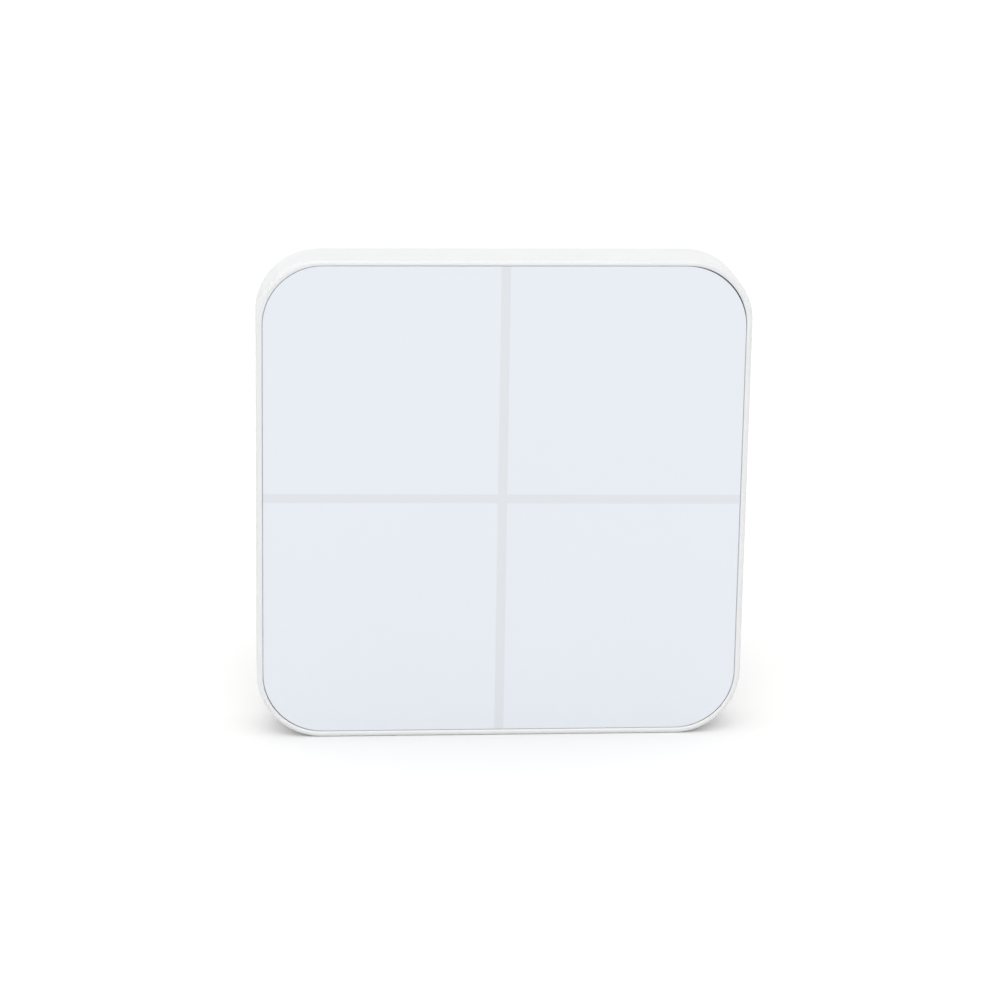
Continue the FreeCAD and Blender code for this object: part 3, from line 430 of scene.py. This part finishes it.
# Small board parts: fired ceramic with tinned ends, by their place along Z
ceramicLook = {
    "light": (0.36, 0.24, 0.15, 1),
    "dark": (0.28, 0.18, 0.11, 1),
    "tin": (0.7, 0.7, 0.68, 1),
    "bareHalf": 0.5 * mm,  # half the length that isn't tinned
    "cloudScale": 600.0,
    "smooth": 0.3,
    "rough": 0.5,
}


def makeTinnedCeramic():
    c = ceramicLook
    low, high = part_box("board_parts")
    middle = (low.z + high.z) / 2
    material, tree, shader = newMaterial("tinnedCeramic")
    place = addNode(tree, "ShaderNodeTexCoord")
    centre = addNode(tree, "ShaderNodeMapping", {"vector_type": "TEXTURE"}, {"Location": (0, 0, middle)})
    split = addNode(tree, "ShaderNodeSeparateXYZ")
    size = addNode(tree, "ShaderNodeMath", {"operation": "ABSOLUTE"})
    ends = addNode(tree, "ShaderNodeMath", {"operation": "GREATER_THAN"}, {1: c["bareHalf"]})
    tint = addNode(tree, "ShaderNodeMix", {"data_type": "RGBA"}, {"B": c["tin"]})
    variation = addNode(tree, "ShaderNodeGroup", {"node_tree": variationGroup}, {
        "Scale": c["cloudScale"], "Light": c["light"], "Dark": c["dark"],
        "Smooth": c["smooth"], "Rough": c["rough"],
    })
    link = tree.links.new
    link(place.outputs["Object"], centre.inputs["Vector"])
    link(centre.outputs["Vector"], split.inputs["Vector"])
    link(split.outputs["Z"], size.inputs[0])
    link(size.outputs["Value"], ends.inputs[0])
    link(ends.outputs["Value"], tint.inputs["Factor"])
    link(variation.outputs["Color"], tint.inputs["A"])
    link(tint.outputs["Result"], shader.inputs["Base Color"])
    link(ends.outputs["Value"], shader.inputs["Metallic"])
    link(variation.outputs["Roughness"], shader.inputs["Roughness"])
    return material


materials["tinnedCeramic"] = makeTinnedCeramic()


# Wire sleeves: red on one side of a pair and black on the other
sleeveLook = {
    "red": (0.42, 0.02, 0.015, 1),
    "black": (0.015, 0.015, 0.016, 1),
    "cloudScale": 900.0,
    "smooth": 0.35,
    "rough": 0.5,
}


def makeSleeve(name, node, axisLabel):
    s = sleeveLook
    low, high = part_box(node)
    material, tree, shader = newMaterial(name)
    place = addNode(tree, "ShaderNodeTexCoord")
    centre = addNode(tree, "ShaderNodeMapping", {"vector_type": "TEXTURE"}, {"Location": (low + high) / 2})
    split = addNode(tree, "ShaderNodeSeparateXYZ")
    side = addNode(tree, "ShaderNodeMath", {"operation": "GREATER_THAN"}, {1: 0.0})
    tint = addNode(tree, "ShaderNodeMix", {"data_type": "RGBA"}, {"A": s["red"], "B": s["black"]})
    variation = addNode(tree, "ShaderNodeGroup", {"node_tree": variationGroup}, {
        "Scale": s["cloudScale"], "Smooth": s["smooth"], "Rough": s["rough"],
    })
    link = tree.links.new
    link(place.outputs["Object"], centre.inputs["Vector"])
    link(centre.outputs["Vector"], split.inputs["Vector"])
    link(split.outputs[axisLabel], side.inputs[0])
    link(side.outputs["Value"], tint.inputs["Factor"])
    link(tint.outputs["Result"], shader.inputs["Base Color"])
    link(variation.outputs["Roughness"], shader.inputs["Roughness"])
    return material


materials["batterySleeve"] = makeSleeve("batterySleeve", "battery_leads", "X")
materials["motorSleeve"] = makeSleeve("motorSleeve", "motor_leads", "Z")
print("made", len(materials), "materials")


# Front frame: rim, side walls, the ledge behind the glass, screw bosses and ribs
housing = {
    "cornerRadii": [9.4 * mm, 9.45 * mm, 10.1 * mm, 10.1 * mm],  # from the top right, anticlockwise
    "pocketRadius": 9.08 * mm,
    "cornerSegments": 28,
    "frontRound": 0.54 * mm,
    "frontSegments": 6,
    "rearBevel": 1.3 * mm,
    "rearSoftening": 0.3 * mm,
    "softeningSegments": 3,
    "rimWidth": 0.92 * mm,
    "rimInnerRound": 0.26 * mm,
    "rimInnerSteps": 4,
    "sideWall": 2.4 * mm,
    "hollowSegments": 20,
    "ledgeFront": -11.15 * mm,
    "ledgeRear": -10.0 * mm,
    "ledgeWidth": 3.85 * mm,
    "ledgeCornerCut": 8.2 * mm,
    "coverSeat": -4.5 * mm,
    "bossInset": 6.5 * mm,
    "bossRadius": 2.6 * mm,
    "pilotRadius": 0.8 * mm,
    "pilotDepth": 4.4 * mm,
    "ribWidth": 1.2 * mm,
    "ribProud": 1.1 * mm,
    "ribSpacing": 30 * mm,
    "notchWidth": 10.2 * mm,
    "mouthClearance": 0.25 * mm,
    "mouthCorner": 0.4 * mm,
    "mouthSegments": 5,
    "overlap": 0.2 * mm,  # how far helper shapes run into or past the surface that they meet
}


def reshapeCorners(verts, reach, oldRadii, newRadius):
    # gives the round corners of a square outline another radius
    for vert in verts:
        quarter = (math.copysign(1, vert.co.x), math.copysign(1, vert.co.z))
        oldRadius = oldRadii[fourPlaces(1, 1).index(quarter)]
        for axis in (0, 2):
            share = (abs(vert.co[axis]) - reach + oldRadius) / oldRadius
            vert.co[axis] = math.copysign(reach - newRadius + newRadius * share, vert.co[axis])


def bossPlaces():
    reach = frameHigh.x - housing["bossInset"]
    return fourPlaces(reach, reach)


def makeRimAndPocket():
    # the outer block, the flat of the rim, its rounded inner edge, and the pocket for the glass
    h = housing
    bm = bmesh.new()
    addBlock(bm, frameLow, frameHigh)
    roundCorners(bm, h["cornerRadii"], h["cornerSegments"])
    roundEdges(bm, edgesAt(bm, frameHigh.y), h["rearBevel"], 1)
    bevelEdges = edgesAt(bm, frameHigh.y) + edgesAt(bm, frameHigh.y - h["rearBevel"])
    roundEdges(bm, bevelEdges, h["rearSoftening"], h["softeningSegments"])
    roundEdges(bm, edgesAt(bm, frameLow.y), h["frontRound"], h["frontSegments"])
    front = min(bm.faces, key=lambda face: face.calc_center_median().y)
    rounding = h["rimInnerRound"]
    flatRim = h["rimWidth"] - rounding
    bmesh.ops.inset_region(bm, faces=[front], thickness=flatRim - h["frontRound"], use_even_offset=True)
    reshapeCorners(front.verts, frameHigh.x - flatRim, [radius - flatRim for radius in h["cornerRadii"]],
                   h["pocketRadius"] + rounding)
    steps = h["rimInnerSteps"]
    for step in range(1, steps + 1):
        last = math.radians(90 * (step - 1) / steps)
        now = math.radians(90 * step / steps)
        bmesh.ops.inset_region(
            bm, faces=[front], thickness=rounding * (math.sin(now) - math.sin(last)),
            depth=rounding * (math.cos(now) - math.cos(last)), use_even_offset=True,
        )
    pushed = bmesh.ops.extrude_face_region(bm, geom=[front, *front.edges, *front.verts])
    floorVerts = [item for item in pushed["geom"] if isinstance(item, bmesh.types.BMVert)]
    bmesh.ops.translate(bm, verts=floorVerts, vec=(0, h["ledgeFront"] - frameLow.y - rounding, 0))
    return makeObject("frameMoulding", bm)


def hollowOut(piece):
    # the space between the side walls, and the opening in the ledge with its cut corners
    h = housing
    wall = h["sideWall"]
    hollow = bmesh.new()
    low, high = grownBox(frameLow, frameHigh, (-wall, 0, -wall))
    low.y, high.y = h["ledgeRear"], frameHigh.y + overshoot
    addBlock(hollow, low, high, min(h["cornerRadii"]) - wall, h["hollowSegments"])
    combine(piece, hollow, "DIFFERENCE")

    opening = bmesh.new()
    edge = h["rimWidth"] + h["ledgeWidth"]
    low, high = grownBox(frameLow, frameHigh, (-edge, 0, -edge))
    low.y, high.y = h["ledgeFront"] - overshoot, h["ledgeRear"] + overshoot
    addBlock(opening, low, high, h["ledgeCornerCut"])
    combine(piece, opening, "DIFFERENCE")


def addBossesAndRibs(piece):
    # a screw boss with its pilot hole in each corner, and two ribs on each side wall
    h = housing
    overlap = h["overlap"]
    posts = bmesh.new()
    for x, z in bossPlaces():
        addRod(posts, x, z, h["ledgeRear"] - overlap, h["coverSeat"], h["bossRadius"])
    half = h["ribWidth"] / 2
    for x, z in fourPlaces(frameHigh.x - h["sideWall"], h["ribSpacing"] / 2):
        low, high = sorted((x, x - math.copysign(h["ribProud"], x)))
        outward = (low - overlap, high) if x < 0 else (low, high + overlap)
        across = (z - half, z + half)
        for spanX, spanZ in ((outward, across), (across, outward)):
            addBlock(posts, Vector((spanX[0], h["ledgeRear"] - overlap, spanZ[0])),
                     Vector((spanX[1], h["coverSeat"], spanZ[1])))
    combine(piece, posts, "UNION")
    holes = bmesh.new()
    for x, z in bossPlaces():
        addRod(holes, x, z, h["coverSeat"] - h["pilotDepth"], h["coverSeat"] + overlap, h["pilotRadius"])
    combine(piece, holes, "DIFFERENCE")


def cutBoardNotch(piece):
    # the notch in the ledge for the board's tab
    h = housing
    overlap = h["overlap"]
    half = h["notchWidth"] / 2
    top = frameLow.z + h["rimWidth"] + h["ledgeWidth"] + overlap
    notch = bmesh.new()
    addBlock(notch, Vector((-half, h["ledgeFront"] - overlap, frameLow.z + h["sideWall"])),
             Vector((half, h["ledgeRear"] + overlap, top)))
    combine(piece, notch, "DIFFERENCE")


def cutSocketMouth(piece):
    # the mouth of the charging socket in the bottom wall
    h = housing
    clearance = h["mouthClearance"]
    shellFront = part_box("charge_socket_shell")[0].y
    half = socket["width"] / 2 + clearance
    low = Vector((-half, shellFront - clearance, frameLow.z - overshoot))
    high = Vector((half, shellFront + socket["rise"] + clearance, frameLow.z + h["sideWall"] + overshoot))
    mouthCut = bmesh.new()
    addBlock(mouthCut, low, high, h["mouthCorner"], h["mouthSegments"], along=upward)
    combine(piece, mouthCut, "DIFFERENCE")


def makeFrontFrame():
    piece = makeRimAndPocket()
    hollowOut(piece)
    addBossesAndRibs(piece)
    cutBoardNotch(piece)
    cutSocketMouth(piece)
    finishPiece(piece, materials["satinWhite"], "housing", ["front_frame"])


# Charging socket shell: folded sheet round the tongue, open at the bottom of the housing
socket = {
    "width": 7.5 * mm,
    "rise": 2.65 * mm,
    "sheet": 0.3 * mm,
    "shoulder": 0.8 * mm,
    "shoulderSegments": 6,
    "cornerRound": 0.35 * mm,
    "cornerSegments": 4,
}


def addFlatBar(bm, low, high, shoulder, corner):
    # a flat bar along Z with two rounder shoulders on the wall side
    uprights = addCube(bm, low, high, upward)
    middle = (low.y + high.y) / 2
    wallSide = [edge for edge in uprights if edge.verts[0].co.y > middle]
    boardSide = [edge for edge in uprights if edge not in wallSide]
    roundEdges(bm, wallSide, shoulder, socket["shoulderSegments"])
    roundEdges(bm, boardSide, corner, socket["cornerSegments"])


def makeSocketShell():
    nodeLow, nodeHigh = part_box("charge_socket_shell")
    half = socket["width"] / 2
    sheet = socket["sheet"]
    low = Vector((-half, nodeLow.y, nodeLow.z))
    high = Vector((half, nodeLow.y + socket["rise"], nodeHigh.z))
    bm = bmesh.new()
    addFlatBar(bm, low, high, socket["shoulder"], socket["cornerRound"])
    piece = makeObject("socketShell", bm)
    inside = bmesh.new()
    low, high = grownBox(low, high, (-sheet, -sheet, overshoot))
    addFlatBar(inside, low, high, socket["shoulder"] - sheet, socket["cornerRound"] - sheet / 2)
    combine(piece, inside, "DIFFERENCE")
    finishPiece(piece, materials["pressedSteel"], "housing", ["charge_socket_shell"])


# Glass panel: one flat pane with a ground edge
panel = {
    "gap": 0.02 * mm,
    "cornerRadii": [9.42 * mm, 9.1 * mm, 9.25 * mm, 9.2 * mm],  # from the top right, anticlockwise
    "cornerSegments": 28,
    "groundEdge": 0.11 * mm,
    "groundSegments": 3,
    "rearEdge": 0.1 * mm,
    "rearSegments": 2,
}


def makeGlassPanel():
    bm = bmesh.new()
    inset = housing["rimWidth"] + panel["gap"]
    low, high = grownBox(frameLow, frameHigh, (-inset, 0, -inset))
    low.y, high.y = glassLow.y, glassHigh.y
    addBlock(bm, low, high)
    roundCorners(bm, panel["cornerRadii"], panel["cornerSegments"])
    roundEdges(bm, edgesAt(bm, glassLow.y), panel["groundEdge"], panel["groundSegments"])
    roundEdges(bm, edgesAt(bm, glassHigh.y), panel["rearEdge"], panel["rearSegments"])
    piece = makeObject("glassPanel", bm)
    finishPiece(piece, materials["paintedGlass"], "housing", ["cover_glass"])


# Rear cover: flat panel with magnet cups, battery fences, the button's hole and screw seats
cover = {
    "thickness": 1.6 * mm,
    "cornerRadius": 7.4 * mm,
    "cornerSegments": 20,
    "edgeRound": 0.3 * mm,
    "edgeSegments": 4,
    "cupRise": 0.8 * mm,
    "cupWall": 1.1 * mm,
    "cupRound": 0.6 * mm,
    "cupSegments": 4,
    "magnetGap": 0.1 * mm,
    "fenceWidth": 1.0 * mm,
    "fenceRound": 0.3 * mm,
    "fenceSegments": 3,
    "fenceLength": 8.0 * mm,
    "fenceGap": 0.3 * mm,
    "fenceDrop": 6.0 * mm,
    "buttonGap": 0.1 * mm,
    "buttonHoleSegments": 64,
    "holeRadius": 0.95 * mm,
    "seatRadius": 1.8 * mm,
    "overlap": 0.1 * mm,  # how far helper shapes run into or past the surface that they meet
}


def magnetPlaces():
    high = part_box("magnets")[1]
    half = magnetBlocks["width"] / 2
    return fourPlaces(high.x - half, high.z - half)


def addCupsAndFences(piece, panelFront):
    # a cup round each magnet, and three fences round the battery cell
    c = cover
    overlap = c["overlap"]
    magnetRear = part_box("magnets")[1].y
    well = magnetBlocks["width"] / 2 + c["magnetGap"]
    cup = well + c["cupWall"]
    walls = bmesh.new()
    wells = bmesh.new()
    for x, z in magnetPlaces():
        addBlock(walls, Vector((x - cup, panelFront - c["cupRise"], z - cup)),
                 Vector((x + cup, panelFront + overlap, z + cup)), c["cupRound"], c["cupSegments"])
        addBlock(wells, Vector((x - well, panelFront - 2 * c["cupRise"], z - well)),
                 Vector((x + well, magnetRear, z + well)))
    cellLow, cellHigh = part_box("battery_cell")
    halfLong = c["fenceLength"] / 2
    halfThin = c["fenceWidth"] / 2
    side = cellHigh.x + c["fenceGap"] + halfThin
    top = cellHigh.z + c["fenceGap"] + halfThin
    sideZ = (cellLow.z + cellHigh.z) / 2 - c["fenceDrop"]
    fences = [
        (side, sideZ, halfThin, halfLong),
        (-side, sideZ, halfThin, halfLong),
        (0, top, halfLong, halfThin),
    ]
    for x, z, halfX, halfZ in fences:
        addBlock(walls, Vector((x - halfX, coverLow.y, z - halfZ)),
                 Vector((x + halfX, panelFront + overlap, z + halfZ)), c["fenceRound"], c["fenceSegments"])
    combine(piece, walls, "UNION")
    combine(piece, wells, "DIFFERENCE")


def cutCoverHoles(piece, panelFront):
    # the button's hole, and four screw holes with seats for the flat heads
    c = cover
    front = panelFront - overshoot
    rear = coverHigh.y + overshoot
    buttonLow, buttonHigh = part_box("action_button")
    buttonZ = (buttonLow.z + buttonHigh.z) / 2
    buttonHole = button["radius"] + c["buttonGap"]
    holes = bmesh.new()
    addRod(holes, 0, buttonZ, front, rear, buttonHole, segments=c["buttonHoleSegments"])
    for x, z in bossPlaces():
        addRod(holes, x, z, front, rear, c["holeRadius"])
    combine(piece, holes, "DIFFERENCE")
    extra = c["overlap"]
    seatFront = coverHigh.y - (c["seatRadius"] - c["holeRadius"]) - extra
    seats = bmesh.new()
    for x, z in bossPlaces():
        addRod(seats, x, z, seatFront, coverHigh.y + extra, c["holeRadius"] - extra, c["seatRadius"] + extra)
    combine(piece, seats, "DIFFERENCE")


def makeRearCover():
    c = cover
    panelFront = coverHigh.y - c["thickness"]
    low = Vector((coverLow.x, panelFront, coverLow.z))
    bm = bmesh.new()
    addBlock(bm, low, coverHigh, c["cornerRadius"], c["cornerSegments"])
    roundEdges(bm, edgesAt(bm, coverHigh.y), c["edgeRound"], c["edgeSegments"])
    piece = makeObject("rearCoverMoulding", bm)
    addCupsAndFences(piece, panelFront)
    cutCoverHoles(piece, panelFront)
    finishPiece(piece, materials["satinWhite"], "housing", ["rear_cover"])


# Action button: a cap in the rear cover with a flange and a stem behind it
button = {
    "radius": 3.0 * mm,
    "edgeRound": 0.3 * mm,
    "edgeSteps": 6,
    "flangeRadius": 4.2 * mm,
    "flangeThickness": 0.7 * mm,
    "flangeGap": 0.05 * mm,
    "stemRadius": 1.4 * mm,
    "dish": 0.12 * mm,
    "dishShares": (0.8, 0.6, 0.4, 0.2, 0.0),  # shares of the radius, from the dish's rim to its middle
}


def makeActionButton():
    b = button
    low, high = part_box("action_button")
    z = (low.z + high.z) / 2
    flangeRear = coverHigh.y - cover["thickness"] - b["flangeGap"]
    flangeFront = flangeRear - b["flangeThickness"]
    steps = b["edgeSteps"]
    rounded = []
    for count in range(steps + 1):
        angle = math.radians(90 * count / steps)
        across = b["radius"] - b["edgeRound"] * (1 - math.cos(angle))
        rounded.append((across, high.y - b["edgeRound"] * (1 - math.sin(angle))))
    widest = b["dishShares"][0]
    dish = [
        (b["radius"] * share, high.y - b["dish"] * (1 - (share / widest) ** 2)) for share in b["dishShares"]
    ]
    stem = [(0, low.y), (b["stemRadius"], low.y), (b["stemRadius"], flangeFront)]
    flange = [(b["flangeRadius"], flangeFront), (b["flangeRadius"], flangeRear), (b["radius"], flangeRear)]
    piece = makeObject("pressButton", turnedShape(stem + flange + rounded + dish, 0, z))
    finishPiece(piece, materials["satinGrey"], "action_button", ["action_button"])


# Cover screws: flat heads with a cross recess
screws = {
    "headRadius": 1.6 * mm,
    "rimRound": 0.05 * mm,
    "shankRadius": 0.75 * mm,
    "tipShare": 0.6,  # the flat tip, as a share of the shank's radius
    "threadPitch": 0.5 * mm,
    "threadDepth": 0.06 * mm,
    "crossWidth": 0.42 * mm,
    "crossLength": 1.9 * mm,
    "crossDepth": 0.5 * mm,
    "segments": 32,
}


def makeCoverScrews():
    s = screws
    low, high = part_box("cover_screws")
    shank = s["shankRadius"]
    neck = high.y - (s["headRadius"] - shank)
    profile = [(0, low.y), (shank * s["tipShare"], low.y)]
    y = low.y + s["threadPitch"] / 2
    while y + s["threadPitch"] / 2 < neck:
        profile += [(shank - s["threadDepth"], y - s["threadPitch"] / 4), (shank, y)]
        y += s["threadPitch"] / 2
    profile += [(shank, neck), (s["headRadius"], high.y - s["rimRound"])]
    profile += [(s["headRadius"] - s["rimRound"], high.y), (0, high.y)]
    whole = bmesh.new()
    for x, z in bossPlaces():
        one = turnedShape(profile, x, z, segments=s["segments"])
        mesh = bpy.data.meshes.new("screw")
        one.to_mesh(mesh)
        one.free()
        whole.from_mesh(mesh)
        bpy.data.meshes.remove(mesh)
    piece = makeObject("coverScrewSet", whole)
    for length, width in ((s["crossLength"], s["crossWidth"]), (s["crossWidth"], s["crossLength"])):
        bars = bmesh.new()
        half = Vector((length / 2, 0, width / 2))
        for x, z in bossPlaces():
            low = Vector((x, high.y - s["crossDepth"], z)) - half
            addBlock(bars, low, Vector((x, high.y + overshoot, z)) + half)
        combine(piece, bars, "DIFFERENCE")
    finishPiece(piece, materials["zincSteel"], "housing", ["cover_screws"])


# Magnets and the steel discs that they hold to
magnetBlocks = {"width": 9.0 * mm, "edgeRound": 0.25 * mm, "edgeSegments": 3}
keepers = {"radius": 6.0 * mm, "segments": 64, "edgeRound": 0.12 * mm, "edgeSegments": 2}


def makeMagnets():
    low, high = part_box("magnets")
    half = magnetBlocks["width"] / 2
    bm = bmesh.new()
    for x, z in magnetPlaces():
        addBlock(bm, Vector((x - half, low.y, z - half)), Vector((x + half, high.y, z + half)))
    roundEdges(bm, list(bm.edges), magnetBlocks["edgeRound"], magnetBlocks["edgeSegments"])
    piece = makeObject("magnetSet", bm)
    finishPiece(piece, materials["nickelPlate"], "housing", ["magnets"])


def keeperPlaces():
    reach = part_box("keeper_discs")[1].x - keepers["radius"]
    return fourPlaces(reach, reach)


def makeKeepers():
    k = keepers
    low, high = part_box("keeper_discs")
    bm = bmesh.new()
    for x, z in keeperPlaces():
        addRod(bm, x, z, low.y, high.y, k["radius"], segments=k["segments"])
    roundEdges(bm, edgesAt(bm, low.y) + edgesAt(bm, high.y), k["edgeRound"], k["edgeSegments"])
    piece = makeObject("keeperSet", bm)
    finishPiece(piece, materials["zincSteel"], "wall_plate", ["keeper_discs"])


# Wall plate: flat moulding with keeper wells and four slotted screw holes
plate = {
    "cornerRadius": 7.2 * mm,
    "cornerSegments": 20,
    "frontRound": 0.5 * mm,
    "frontSegments": 4,
    "rearRound": 0.3 * mm,
    "rearSegments": 3,
    "keeperGap": 0.1 * mm,
    "slotInset": 4.7 * mm,
    "slotWidth": 3.6 * mm,
    "slotLength": 5.0 * mm,
    "slotEndShare": 0.4999,  # of the width; a shade under half, so that the two roundings don't meet
    "slotSegments": 12,
    "recessWidth": 6.6 * mm,
    "recessDepth": 1.6 * mm,
}


def makeWallPlate():
    p = plate
    bm = bmesh.new()
    addBlock(bm, plateLow, plateHigh, p["cornerRadius"], p["cornerSegments"])
    roundEdges(bm, edgesAt(bm, plateLow.y), p["frontRound"], p["frontSegments"])
    roundEdges(bm, edgesAt(bm, plateHigh.y), p["rearRound"], p["rearSegments"])
    piece = makeObject("wallPlateMoulding", bm)
    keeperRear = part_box("keeper_discs")[1].y
    wellRadius = keepers["radius"] + p["keeperGap"]
    wells = bmesh.new()
    for x, z in keeperPlaces():
        addRod(wells, x, z, plateLow.y - overshoot, keeperRear, wellRadius, segments=keepers["segments"])
    combine(piece, wells, "DIFFERENCE")
    centre = plateHigh.x - p["slotInset"]
    grown = p["slotLength"] + p["recessWidth"] - p["slotWidth"]
    sizes = [
        (p["slotLength"], p["slotWidth"], plateLow.y - overshoot, plateHigh.y + overshoot),
        (grown, p["recessWidth"], plateLow.y - 2 * overshoot, plateLow.y + p["recessDepth"]),
    ]
    for length, width, front, rear in sizes:
        slots = bmesh.new()
        for x, z, turned in ((centre, 0, False), (-centre, 0, False), (0, centre, True), (0, -centre, True)):
            halfX, halfZ = (width / 2, length / 2) if turned else (length / 2, width / 2)
            addBlock(slots, Vector((x - halfX, front, z - halfZ)), Vector((x + halfX, rear, z + halfZ)),
                     width * p["slotEndShare"], p["slotSegments"])
        combine(piece, slots, "DIFFERENCE")
    finishPiece(piece, materials["satinWhite"], "wall_plate", ["wall_plate"])


makeFrontFrame()
makeSocketShell()
makeGlassPanel()
makeRearCover()
makeActionButton()
makeCoverScrews()
makeMagnets()
makeKeepers()
makeWallPlate()


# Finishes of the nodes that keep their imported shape
nodeFinishes = {
    "clearAdhesive": ["panel_tape", "sensor_adhesive", "battery_tape"],
    "solderMask": ["circuit_board", "radio_board", "battery_guard_board"],
    "goldPlate": ["sensor_electrodes", "radio_antenna", "charge_socket_contacts"],
    "ledLens": ["status_led"],
    "matteBlack": ["touch_chip", "charge_chip", "radio_chip", "charge_socket_tongue", "switch_case",
                   "switch_plunger"],
    "tinnedCeramic": ["board_parts"],
    "pressedSteel": ["radio_shield", "switch_cover", "motor_case", "motor_base", "motor_shaft"],
    "sinteredMetal": ["motor_rotor"],
    "pouchFoil": ["battery_cell"],
    "batterySleeve": ["battery_leads"],
    "motorSleeve": ["motor_leads"],
    "creamPlastic": ["battery_plug", "battery_socket"],
}
for finish, names in nodeFinishes.items():
    for name in names:
        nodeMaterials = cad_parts[name].data.materials
        nodeMaterials.clear()
        nodeMaterials.append(materials[finish])
print("finished", sum(map(len, nodeFinishes.values())), "inner nodes")


# Studio: white floor, even white surroundings, three broad soft lamps and the photograph's camera
studio = {
    "floorSize": 12.0,  # metres
    "floorColour": (0.72, 0.72, 0.716, 1),
    "floorRoughness": 0.9,
    "skyStrength": 1.26,
    # each lamp's strength, degrees above the floor, degrees to the left of the front, degrees across
    "lamps": {
        "highLamp": (0.60, 55, 5, 40),
        "lowLamp": (1.28, 13, 5, 40),
        "sideLamp": (0.14, 30, 70, 40),
    },
}
camera = {
    "place": Vector((-41.65, -496.54, 130.96)) * mm,
    "heading": 4.869,  # degrees to the right of straight ahead
    "down": 15.062,  # degrees below level
    "roll": 0.959,  # degrees
    "lens": 118.66,
    "sensor": 36,
    "nearest": 0.01,  # metres, the range that the camera sees
    "farthest": 50,
}


def makeFloor():
    bm = bmesh.new()
    bmesh.ops.create_grid(bm, x_segments=1, y_segments=1, size=studio["floorSize"] / 2,
                          matrix=Matrix.Translation((0, 0, frameLow.z)))
    floor = makeObject("studioFloor", bm)
    material, _, shader = newMaterial("studioWhite")
    shader.inputs["Base Color"].default_value = studio["floorColour"]
    shader.inputs["Roughness"].default_value = studio["floorRoughness"]
    shader.inputs["Specular IOR Level"].default_value = 0.0
    floor.data.materials.append(material)


def makeLight():
    world = bpy.data.worlds.new("studioWorld")
    world.use_nodes = True
    background = world.node_tree.nodes["Background"]
    background.inputs["Color"].default_value = (1, 1, 1, 1)
    background.inputs["Strength"].default_value = studio["skyStrength"]
    bpy.context.scene.world = world
    for name, (strength, height, side, spread) in studio["lamps"].items():
        sun = bpy.data.lights.new(name, "SUN")
        sun.energy = strength
        sun.angle = math.radians(spread)
        lamp = bpy.data.objects.new(name, sun)
        bpy.context.scene.collection.objects.link(lamp)
        turn = Matrix.Rotation(math.radians(-side), 3, "Z")
        tip = Matrix.Rotation(math.radians(90 - height), 3, "X")
        lamp.rotation_euler = (turn @ tip).to_euler()


def makeCamera():
    data = bpy.data.cameras.new("photoCamera")
    data.lens = camera["lens"]
    data.sensor_width = camera["sensor"]
    data.clip_start = camera["nearest"]
    data.clip_end = camera["farthest"]
    view = bpy.data.objects.new("photoCamera", data)
    bpy.context.scene.collection.objects.link(view)
    turn = Matrix.Rotation(math.radians(-camera["heading"]), 3, "Z")
    tip = Matrix.Rotation(math.radians(90 - camera["down"]), 3, "X")
    roll = Matrix.Rotation(math.radians(camera["roll"]), 3, "Z")
    view.rotation_euler = (turn @ tip @ roll).to_euler()
    view.location = camera["place"]
    bpy.context.scene.camera = view


makeFloor()
makeLight()
makeCamera()
bpy.context.scene.view_settings.view_transform = "Standard"
print("studio ready")
